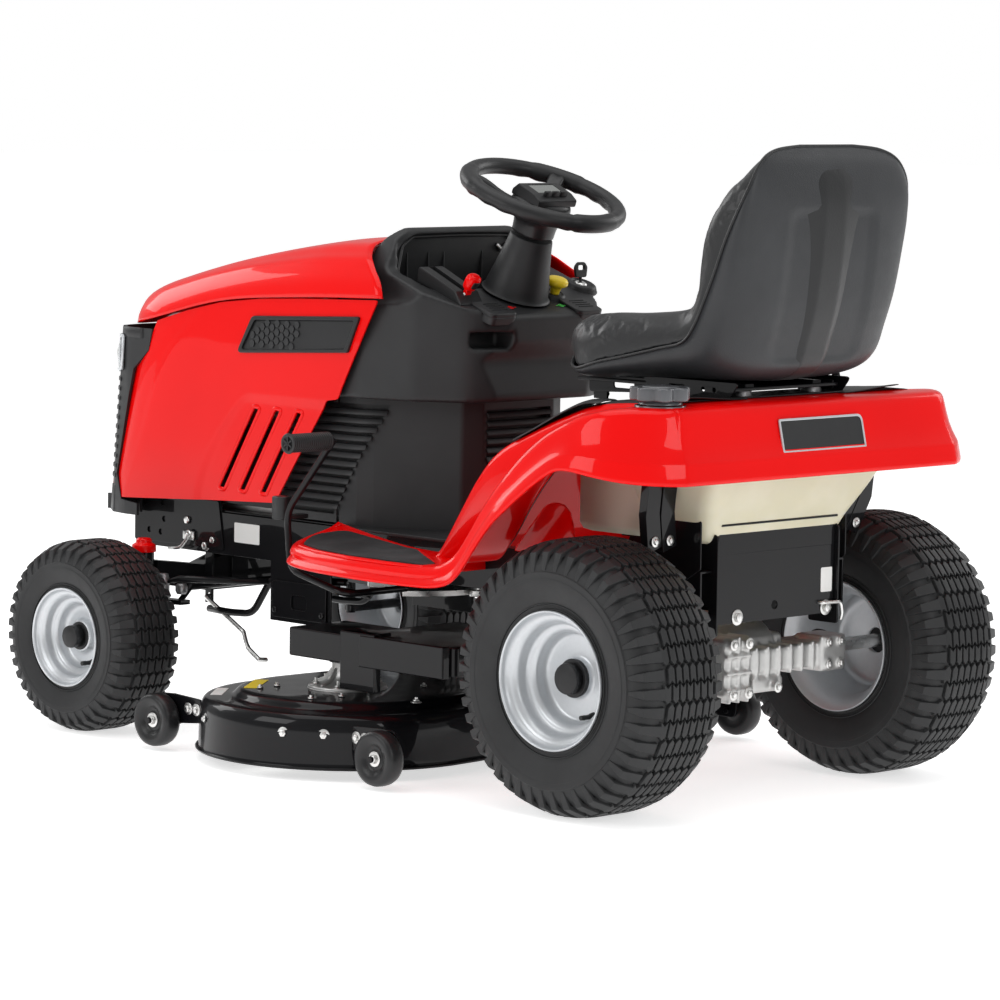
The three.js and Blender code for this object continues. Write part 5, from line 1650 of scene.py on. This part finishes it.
def gauge_arm(end):
    """Arm and axle of a gauge wheel; it reaches back from the front wheel and forward from the rear one."""
    y = GAUGE_AT[end]
    if end == "front":
        outline = rounded([(y - 24, 84, 10), (y - 16, 104, 14), (y + 20, 106, 10), (y + 96, 102, 8),
                           (y + 96, 58, 8), (y + 40, 52, 16), (y + 20, 44, 14), (y - 20, 44, 14)], 6)
    else:
        outline = rounded([(y - 96, 58, 8), (y - 96, 102, 8), (y - 20, 106, 10), (y + 14, 104, 14),
                           (y + 24, 86, 14), (y + 20, 44, 14), (y - 20, 44, 14), (y - 40, 52, 16)], 6)
    return merged(plate([outline], "x", 446, 451, 1.0), bar((440, y, 57), (498, y, 57), 6, count=16))


def blank_label(length, width):
    """Thin sticker with nothing printed on it."""
    x, y = length / 2, width / 2
    return plate([rounded([(-x, -y, 3), (x, -y, 3), (x, y, 3), (-x, y, 3)], 2)], "z", 0, 0.9, 0.1)


def build_deck():
    skin = deck_skin()
    make("deck_pressing", skin, "deck", "deck_black", replaces=["deck_shell"], sheet=2.6, crisp=False)
    make_pair("spindle_casting", spindle_housing(), "deck", "cast", replaces=["spindle_housing_*"],
              bevel=0.8)
    make_pair("deck_pulley", merged(pulley(214, 62), pulley(190, 34)), "blade_*", "steel", bevel=0.5)
    studs = []
    for k in range(6):
        a = k * math.pi / 3 + math.pi / 6
        spot = (DECK_X + 60 * math.cos(a), DECK_Y + 60 * math.sin(a), 139)
        studs.append(bolt(spot, (0, 0, 1), 11, shank=14))
    make_pair("spindle_studs", merged(*studs), "deck", "zinc")
    hooks = merged(hinge_bracket(-880), hinge_bracket(-520))
    make_pair("deck_hangers", hooks, "deck", "frame_black")
    for end in ("front", "rear"):
        y = GAUGE_AT[end]
        make_pair(f"gauge_roller_{end}", moved(gauge_tread(), 0, y, 0), f"gauge_wheel_{end}_*",
                  "wheel_plastic", replaces=[f"gauge_wheel_{end}_*"], crisp=False)
        make_pair(f"gauge_axle_bolt_{end}", bolt((485, y, 57), (1, 0, 0), 15), "deck", "zinc")
        make_pair(f"gauge_arm_{end}", gauge_arm(end), "deck", "deck_black")
        feet = [bolt((451, y + toward, 82), (1, 0, 0), 12)
                for toward in ((-62, -84) if end == "rear" else (62, 84))]
        make_pair(f"gauge_arm_bolts_{end}", merged(*feet), "deck", "zinc")
    make_pair("belt_cover", belt_cover(), "deck", "frame_black")
    top_bolts = []
    for x, y in ((160, -800), (368, -800), (160, -625), (368, -625), (430, -640), (410, -800), (300, -500),
                 (130, -500)):
        top_bolts.append(bolt((x, y, 131), (0, 0, 1), 11, shank=10))
    make("deck_top_bolts", both(merged(*top_bolts)), "deck", "zinc")
    wall = []
    for degrees, z in ((22, 84), (38, 84), (60, 62), (-25, 84)):
        a = math.radians(degrees)
        out = Vector((math.cos(a), math.sin(a), 0))
        spot = Vector((DECK_X, DECK_Y, z)) + out * (DECK_R + 1)
        wall.append(bolt(spot, out, 12, shank=9))
    make("deck_wall_bolts", merged(*wall), "deck", "zinc")
    for tone, label, degrees, radius, level in (("label_yellow", blank_label(110, 26), -53, 172, 133.0),
                                                ("label_white", blank_label(90, 22), -50, 239, 118.1)):
        a = math.radians(degrees)
        spot = Vector((DECK_X + radius * math.cos(a), DECK_Y + radius * math.sin(a), level))
        make(f"deck_{tone}",
             turned(label, Matrix.Translation(spot) @ Matrix.Rotation(a + math.pi / 2, 4, "Z")), "deck",
             tone)


build_deck()


# ------------------------------------------------------------------ frame, axle and linkages
def build_frame_details():
    heads = [(-1255, 394), (-1204, 349), (-1181, 361), (-880, 352), (-560, 376)]
    bolts = [bolt((191, y, z), (1, 0, 0), 12 if k % 3 else 14) for k, (y, z) in enumerate(heads)]
    make_pair("rail_bolts", merged(*bolts), "chassis", "zinc")
    nut = [bolt((191, y, 244), (1, 0, 0), 11) for y in (-1000, -868)]
    bracket = plate([rounded([(-1010, 230, 6), (-858, 230, 6), (-858, 300, 10), (-1010, 300, 10)], 5),
                     box_line(-955, -912, 248, 276, 8)], "x", 190.5, 194, 0.8)
    make_pair("hanger_plate", merged(bracket, *nut), "chassis", "frame_black")
    seam = plate([rounded([(-1414, 344), (-1150, 344, 4), (-1166, 438, 6), (-1414, 438)], 4)], "x", 190.2,
                 193.4, 1.0)
    holes = [plate([[(y + u, z + v) for u, v in oval(6, count=16)]], "x", 180, 200, 0)
             for y, z in ((-1330, 422), (-1382, 420), (-1326, 390), (-1370, 366), (-1336, 364))]
    make_pair("rail_doubler", carved(seam, holes), "chassis", "frame_black", bevel=0.4)
    latch = merged(tube([(196, -1238, 368), (202, -1244, 362), (206, -1262, 340), (212, -1290, 337)], 3.4, 8),
                   block(194, 200, -1262, -1232, 356, 374, 2), bolt((200, -1246, 366), (1, 0, 0), 11))
    make_pair("hood_latch", latch, "chassis", "zinc", crisp=False)
    cap = [(0.01, 361), (12, 361), (15, 358), (16, 352), (23, 348), (24, 340), (24, 334.5), (0.01, 334.5)]
    make_pair("kingpin_cap", lathe(list(reversed(cap)), (275, -1290, 0), (0, 0, 1), 32), "spindle_*", "red",
              bevel=0.8)
    washer = lathe([(11, 247.5), (19, 247.5), (19, 251.5), (11, 251.5)], (275, -1290, 0), (0, 0, 1), 32,
                   closed=True)
    make_pair("kingpin_washer", washer, "spindle_*", "zinc")
    rest = block(318, 340, -850, -822, 438, 482, 3)
    make_pair("hood_rest", merged(rest, block(270, 320, -846, -826, 438, 446, 1)), "chassis", "soft_black")
    joint = lathe([(0.01, 278), (9, 278), (12, 273), (12, 264), (9, 258), (0.01, 258)][::-1],
                  (252, -1205, 0), (0, 0, 1), 24)
    make_pair("tie_rod_end", joint, "tie_rod", "steel", bevel=0.6)
    label = plate([box_line(-1122, -1050, 362, 400, 3)], "x", 190.2, 191, 0.1)
    make("rail_label", label, "chassis", "label_white")
    lift_link = tube([(150, -1240, 219), (150, -1180, 217), (150, -1112, 221), (150, -1058, 296),
                      (150, -850, 306)], 7, 22)
    make_pair("lift_link", lift_link, "chassis", "frame_black", crisp=False)
    make("tank_front_lobe", block(-206, 206, -186, 6, 466, 606, 16), "chassis", "tank", crisp=False)
    end = lathe([(0.01, 258), (9, 258), (12, 264), (12, 290), (9, 301), (0.01, 301)], (298, -1205, 0),
                (0, 0, 1), 24)
    make("drag_link_end", end, "drag_link", "steel", bevel=0.6)


# ------------------------------------------------------------------ tank, transaxle and rear plate
def tank_shape():
    stops = [(462, -44, 88, 168), (470, -50, 92, 180), (499, -57, 106, 192), (545, -59, 132, 214),
             (590, -60, 156, 228), (620, -60, 158, 230), (650, -60, 158, 230)]
    rows = []
    for z, front, back, half in smooth_path(stops, 4):
        soft = 30 - 8 * rising(z, 560, 640)
        outline = rounded([(-half, front, soft), (half, front, soft), (half, back, soft),
                           (-half, back, soft)], soft, 8)
        rows.append([Vector((x, y, z)) for x, y in outline])
    return capped(rows)


COVER_BOLTS = ((44, 190), (84, 190), (44, 278), (84, 278), (-34, 194))
FLANGE_BOLTS = ((-176, 222), (-208, 222), (-176, 262), (-208, 262))


def transaxle_shape():
    """Cast halves: axle tubes, a bellied middle, a stepped cover and the ribs that join them."""
    made = [block(30, 97, -88, 66, 180, 288, 7), block(-96, 40, -88, 30, 194, 284, 8),
            bar((-74, -30, 240), (74, -30, 240), 74), bar((-232, 0, 240), (232, 0, 240), 27),
            bar((84, 0, 240), (130, 0, 240), 46, 40), bar((206, 0, 240), (230, 0, 240), 38),
            block(-206, 40, 16, 62, 218, 262, 5), block(-60, 20, 44, 66, 184, 212, 5),
            block(-226, -158, 4, 70, 208, 274, 6), bar((0, -60, 270), (0, -60, 300), 30)]
    made += [block(x - 3, x + 3, -96, 72, 172, 292, 1.5) for x in (38, 62, 86)]
    made += [block(x - 2.5, x + 2.5, 10, 67, 212, 268, 1.2) for x in (-142, -112, -82, -52, -22, 8)]
    made += [block(30, 97, 10, 74, z - 3, z + 3, 1.2) for z in (196, 226, 256)]
    made += [bar((x, 56, z), (x, 78, z), 9) for x, z in COVER_BOLTS]
    made += [bar((x, 56, z), (x, 74, z), 7) for x, z in FLANGE_BOLTS]
    return carved(merged(*made), voxel=3.4, soften=4)


def strut(side_x):
    """Bent channel from the fender down to the frame."""
    section = [(-17, -9), (17, -9), (17, 9), (13, 9), (13, -5.5), (-13, -5.5), (-13, 9), (-17, 9)]
    return sweep([(side_x, 58, 574), (side_x, 52, 520), (side_x - 22, 38, 456)], section)


def build_rear():
    make("tank_moulding", tank_shape(), "chassis", "tank", replaces=["fuel_tank"], bevel=2.0, crisp=False)
    seam = [Vector((x, y, 600)) for x, y in rounded([(-230, -61, 26), (230, -61, 26), (230, 159, 26),
                                                     (-230, 159, 26)], 26, 8)]
    make("tank_seam", sweep([*seam, seam[0]], oval(2.4)), "chassis", "tank", crisp=False)
    make("transaxle_casting", transaxle_shape(), "chassis", "cast", replaces=["transaxle"], crisp=False)
    profile = [(14, 306), (56, 306), (58, 307), (48, 314), (58, 321), (56, 322), (14, 322), (14, 306)]
    make("transaxle_pulley", lathe(profile, (0, -60, 0), (0, 0, 1), 56, closed=True), "chassis", "steel")
    fan = [turned(plate([[(18, 300), (52, 300), (52, 305), (18, 305)]], "y", -1, 1, 0.4),
                  Matrix.Translation((0, -60, 0)) @ Matrix.Rotation(k * math.pi / 5, 4, "Z"))
           for k in range(10)]
    make("transaxle_fan", merged(*fan), "chassis", "dark_plastic")
    heads = [bolt((x, 77, z), (0, 1, 0), 11) for x, z in COVER_BOLTS]
    heads += [bolt((x, 73, z), (0, 1, 0), 9) for x, z in FLANGE_BOLTS]
    make("transaxle_bolts", merged(*heads), "chassis", "zinc")
    boot = lathe([(20, -4), (33, -4), (34, 0), (33, 6), (26, 9), (20, 9), (20, -4)], (232, 0, 240),
                 (1, 0, 0), 32, closed=True)
    make_pair("axle_seal", boot, "chassis", "soft_black")
    struts = merged(strut(282), strut(244))
    make_pair("fender_struts", struts, "chassis", "frame_black", bevel=0.8)
    fixings = [bolt((x, 52, 470), (0, 1, 0), 10) for x in (266, 228)]
    make_pair("strut_bolts", merged(*fixings), "chassis", "zinc")
    gusset = plate([rounded([(36, 300, 6), (104, 300, 6), (104, 480, 14), (60, 480, 14), (36, 420, 10)], 6),
                    box_line(58, 84, 330, 352, 6)], "x", 158, 162, 0.8)
    make_pair("hitch_gusset", gusset, "chassis", "frame_black")
    top = plate([rounded([(-157, 442, 1), (150, 442, 1), (150, 480, 10), (124, 497, 10), (-157, 497, 2)],
                         2)], "y", 88, 95.7, 0.6)
    make("hitch_plate_top", top, "chassis", "frame_black")
    flange = plate([rounded([(-44, 420), (60, 400), (92, 420), (92, 508, 6), (-10, 503, 16), (-44, 486, 6)],
                            4)], "x", 190, 193, 0.8)
    make("strut_flanges", both(flange), "chassis", "frame_black")
    # Painted shade: dark sheets inside the hood's sides, behind the vents, that stand in for the shade of the
    # engine bay.
    screen = plate([box_line(-1240, -820, 434, 590, 10)], "x", 178, 181, 0.8)
    make("engine_shade_sheets", both(screen), "chassis", "frame_black")
    heads = [bolt((x, 95.2, 330), (0, 1, 0), 15) for x in (-136, 99)]
    make("hitch_bolts", merged(*heads), "chassis", "zinc")
    label = plate([box_line(-152, -122, 358, 402, 3)], "y", 95.1, 95.8, 0.1)
    make("hitch_label", label, "chassis", "label_white")
    rod = tube([(-118, 84, 340), (-118, 104, 340), (-166, 106, 339), (-170, 106, 318), (-168, 104, 306)],
               3.4, 8)
    make("release_rod", rod, "chassis", "zinc", crisp=False)


# ------------------------------------------------------------------ filler cap, pedals and levers
CAP_AT = Vector((330, 118, 0))


def star_outline(inner, outer, lobes):
    """Outline round the filler cap whose radius swings between inner and outer."""
    outline = []
    for a in (2 * math.pi * k / 96 for k in range(96)):
        r = inner + (outer - inner) * (0.5 + 0.5 * math.cos(lobes * a)) ** 0.7
        outline.append((CAP_AT.x + math.cos(a) * r, CAP_AT.y + math.sin(a) * r))
    return outline


def build_cap():
    """Star-shaped fuel cap with its crown and skirt, over the filler neck."""
    star = plate([star_outline(42, 53, 7)], "z", 722, 745, 3.0)
    crown = lathe([(0.01, 742), (30, 742), (34, 744), (30, 746.5), (0.01, 746.5)], CAP_AT, (0, 0, 1), 48)
    skirt = lathe([(0.01, 714.5), (38, 714.5), (38, 716), (36, 724), (0.01, 724)], CAP_AT, (0, 0, 1), 48)
    make("cap_star", merged(star, crown, skirt), "fuel_cap", "smoke", replaces=["fuel_cap"])
    neck = lathe([(40, 700), (43, 700), (44, 706), (44, 713.5), (40.5, 713.5), (40, 700)], CAP_AT,
                 (0, 0, 1), 48, closed=True)
    make("filler_neck", neck, "chassis", "smoke")


GRIP_END = 455.6


def build_pedals():
    """Brake pedal's bent rod and ribbed grip, and the drive pedal's ribs."""
    rod_path = [(191, -643, 318), (345, -643, 318), (345, -792, 350), (345, -803, 456), (345, -686, 590),
                (345, -680, 597), (368, -680, 597)]
    make("brake_arm", tube(rod_path, 6.5, 26, 14), "brake_pedal", "frame_black", replaces=["brake_pedal"],
         crisp=False)
    ribs = [(0.01, 0), (13, 0), (15.5, 1.5)]
    for k in range(18):
        at = 4 + k * 5.2
        ribs += [(17.2, at), (17.2, at + 2.8), (15.2, at + 3.4), (15.2, at + 4.8)]
    ribs += [(18, 98), (19, 100), (18, 102), (13, 102.5), (12.5, 100.5), (0.01, 100.5)]
    make("brake_grip", lathe(ribs, (355, -680, 597), (1, 0, 0), 40), "brake_pedal", "soft_black", crisp=False)
    bar_shape = block(-12, 12, -1.4, 1.4, 0, 2.4, 0.5)
    end_face = Matrix.Translation((GRIP_END, -680, 597)) @ Matrix.Rotation(math.pi / 2, 4, "Y")
    spokes = [turned(bar_shape, end_face @ Matrix.Rotation(k * math.pi / 3, 4, "Z")) for k in range(3)]
    make("brake_grip_spokes", merged(*spokes), "brake_pedal", "dark_plastic")
    pads = []
    for start, end in (((-686, 480), (-566, 440)), ((-566, 440), (-446, 480))):
        a, b = Vector((0, *start)), Vector((0, *end))
        for k in range(1, 9):
            spot = a + (b - a) * (k / 9)
            pads.append(block(-388, -312, spot.y - 3, spot.y + 3, spot.z - 1, spot.z + 4, 1.2))
    make("drive_pedal_ribs", merged(*pads), "drive_pedal", "mat")
    grip = [(0.01, 0), (14, 0), (17, 4), (16, 20), (17.5, 40), (16, 60), (17.5, 80), (18, 104), (14, 117),
            (0.01, 120)]
    way = Vector((0, -32, 115))
    make("lift_grip", lathe(smooth_path(grip, 3), (-384, -131, 820), way, 32), "lift_lever", "soft_black",
         crisp=False)
    knob = [(0.01, 0), (8, 0), (9, 6), (12, 14), (19, 18), (21, 22), (20, 28), (14, 32), (0.01, 33)]
    axis = Vector((0, 0.3, 1))
    make("blade_knob", lathe(smooth_path(knob, 3), (-85, -542, 860), axis, 36), "pto_knob", "yellow",
         replaces=["pto_knob"], crisp=False)
    barrel = lathe([(0.01, 0), (9, 0), (12, 2), (12, 5), (8, 7), (0.01, 7)], (-198, -584, 871), STEER_AXIS,
                   32)
    make("key_barrel", barrel, "chassis", "zinc")
    bow = plate([rounded([(-212, 886, 5), (-184, 886, 5), (-181, 906, 10), (-189, 915, 8), (-207, 915, 8),
                          (-215, 906, 10)], 5), box_line(-206, -190, 900, 909, 3)], "y", -587, -581, 1.4)
    stem = bar((-198, -584, 872), (-198, -584, 888), 3, count=12)
    make("key_bow", merged(bow, stem), "ignition_key", "dark_plastic", replaces=["ignition_key"])


# ------------------------------------------------------------------ under the seat
def build_seat_mount():
    ear = plate([rounded([(-70, 716, 3), (112, 716, 3), (134, 744, 6), (-96, 744, 6)], 4),
                 box_line(-30, 6, 724, 734, 2), box_line(46, 54, 725, 733, 4),
                 box_line(72, 80, 725, 733, 4)], "x", 146, 149, 0.6)
    make_pair("seat_ear", ear, "seat", "frame_black")
    rail = plate([rounded([(-240, 706, 8), (108, 722, 6), (108, 738, 4), (-240, 738, 4)], 5),
                  box_line(-180, -130, 717, 729, 5), box_line(-90, -40, 720, 731, 5),
                  box_line(0, 50, 723, 733, 5)], "x", 128, 132, 0.8)
    make_pair("seat_rail", rail, "seat", "frame_black")
    knobs = [bolt((100, y, 726.8), (0, 0, -1), 13) for y in (-150, 60)]
    make_pair("seat_bolts", merged(*knobs), "seat_base", "zinc")
    coil = []
    for k in range(73):
        a = k / 72 * 6 * 2 * math.pi
        coil.append(Vector((92 + 17 * math.cos(a), 88 + 17 * math.sin(a), 716 + 11 * k / 72)))
    make_pair("seat_spring", sweep(coil, oval(1.9, count=6)), "chassis", "steel", crisp=False)


# ------------------------------------------------------------------ grille and headlights
NOSE = [(0, -1493), (80, -1492), (150, -1488), (186, -1479), (210, -1466), (226, -1446), (236, -1420),
        (241, -1390), (243, -1340), (243, -1310)]


def nose_point(share, z, out=0.0):
    """Point on the left half of the nose, share running round its plan from the middle."""
    at = share * (len(NOSE) - 1)
    x = along(at, [(k, p[0]) for k, p in enumerate(NOSE)])
    y = along(at, [(k, p[1]) for k, p in enumerate(NOSE)])
    ahead = along(min(at + 0.2, 9), [(k, p[1]) for k, p in enumerate(NOSE)]) - y
    aside = along(min(at + 0.2, 9), [(k, p[0]) for k, p in enumerate(NOSE)]) - x
    normal = Vector((ahead, -aside, 0)).normalized() if at < 8.9 else Vector((1, 0, 0))
    y += (z - 398) / 366 * 34 * max(0.0, min(1.0, (-1350 - y) / 100))
    return Vector((x, y, z)) + normal * out


def nose_band(shares, heights, out):
    """Raised strip of the nose over a range of shares and heights, on the left half."""
    return grid([[nose_point(share, z, out + low) for share in shares] for z, low in heights])


def full_band(z0, z1, out, last, depth):
    """Bar across the whole nose between two heights, with its top and bottom turned in."""
    shares = [last * k / 36 for k in range(37)]
    heights = [(z0, -depth), (z0, -1.2), (z0 + 1.2, 0), (z1 - 1.2, 0), (z1, -1.2), (z1, -depth)]
    return both(nose_band(shares, heights, out))


LAMP_SHARES = [0.30 + 0.36 * k / 20 for k in range(21)]
LAMP_LOW, LAMP_HIGH = 676, 742


def headlight_ring(grow, out):
    """Closed line round a headlight, grow outside its opening."""
    low = [nose_point(s, LAMP_LOW - grow + k / 2, out) for k, s in enumerate(LAMP_SHARES)]
    high = [nose_point(s, LAMP_HIGH + grow - k / 10, out) for k, s in enumerate(reversed(LAMP_SHARES))]
    return low + high


def headlight_face(height):
    """Surface over a headlight's opening; height takes shares across and up it."""
    rows = []
    for up in (j / 10 for j in range(11)):
        z = LAMP_LOW + (LAMP_HIGH - LAMP_LOW) * up
        rows.append([nose_point(s, z + 9 * k / 20 * (1 - up), height(k / 20, up)) for k,
                     s in enumerate(LAMP_SHARES)])
    return grid(rows)


def build_front():
    make("nose_lower", full_band(400, 452, 0.5, 0.62, 4.0), "hood", "dark_plastic", sheet=2.5, crisp=False)
    make("nose_upper", full_band(744, 764, 0.2, 0.90, 4.0), "hood", "dark_plastic", sheet=2.5, crisp=False)
    bars = [full_band(z, z + 9, 1.5, 0.42 if z > 660 else 0.62, 7.0) for z in range(466, 740, 19)]
    make("grille_bars", merged(*bars), "hood", "charcoal", sheet=1.6, crisp=False)
    loop = headlight_ring(4, 2.5)
    make_pair("headlight_rim", sweep([*loop, loop[0]], oval(3.4)), "hood", "silver", crisp=False)
    bowl = headlight_face(lambda across, up: 1 - 5 * math.sin(math.pi * up) * math.sin(math.pi * across))
    make_pair("headlight_bowl", bowl, "hood", "silver", sheet=1.2, crisp=False)
    cover = headlight_face(lambda across, up: 4 + 3 * math.sin(math.pi * up))
    make_pair("headlight_lens", cover, "hood", "lens", sheet=1.6, crisp=False)
    bulb = lathe([(0.01, 0), (14, 0), (17, 3), (12, 6), (0.01, 7)], nose_point(0.45, 711, -3),
                 (0.25, -1, 0), 28)
    make_pair("headlight_bulb", bulb, "hood", "label_white")


build_frame_details()
build_rear()
build_cap()
build_pedals()
build_seat_mount()
build_front()


# ------------------------------------------------------------------ CAD nodes that stay in view
LOOK_OF_SLOT = {
    "gloss_paint": "red", "black_steel": "frame_black", "trim_plastic": "charcoal", "tank_plastic": "tank",
    "seat_vinyl": "vinyl", "tyre_rubber": "rubber", "soft_grip": "soft_black",
    "wheel_plastic": "wheel_plastic", "wheel_paint": "silver", "cast_metal": "cast", "bright_steel": "zinc",
    "yellow_plastic": "yellow",
}
for part in frame["record"]["subparts"]:
    if not frame["nodes"][part["node"]].hide_render:
        dress_node(part["node"], LOOK_OF_SLOT[part["material_slot"]])
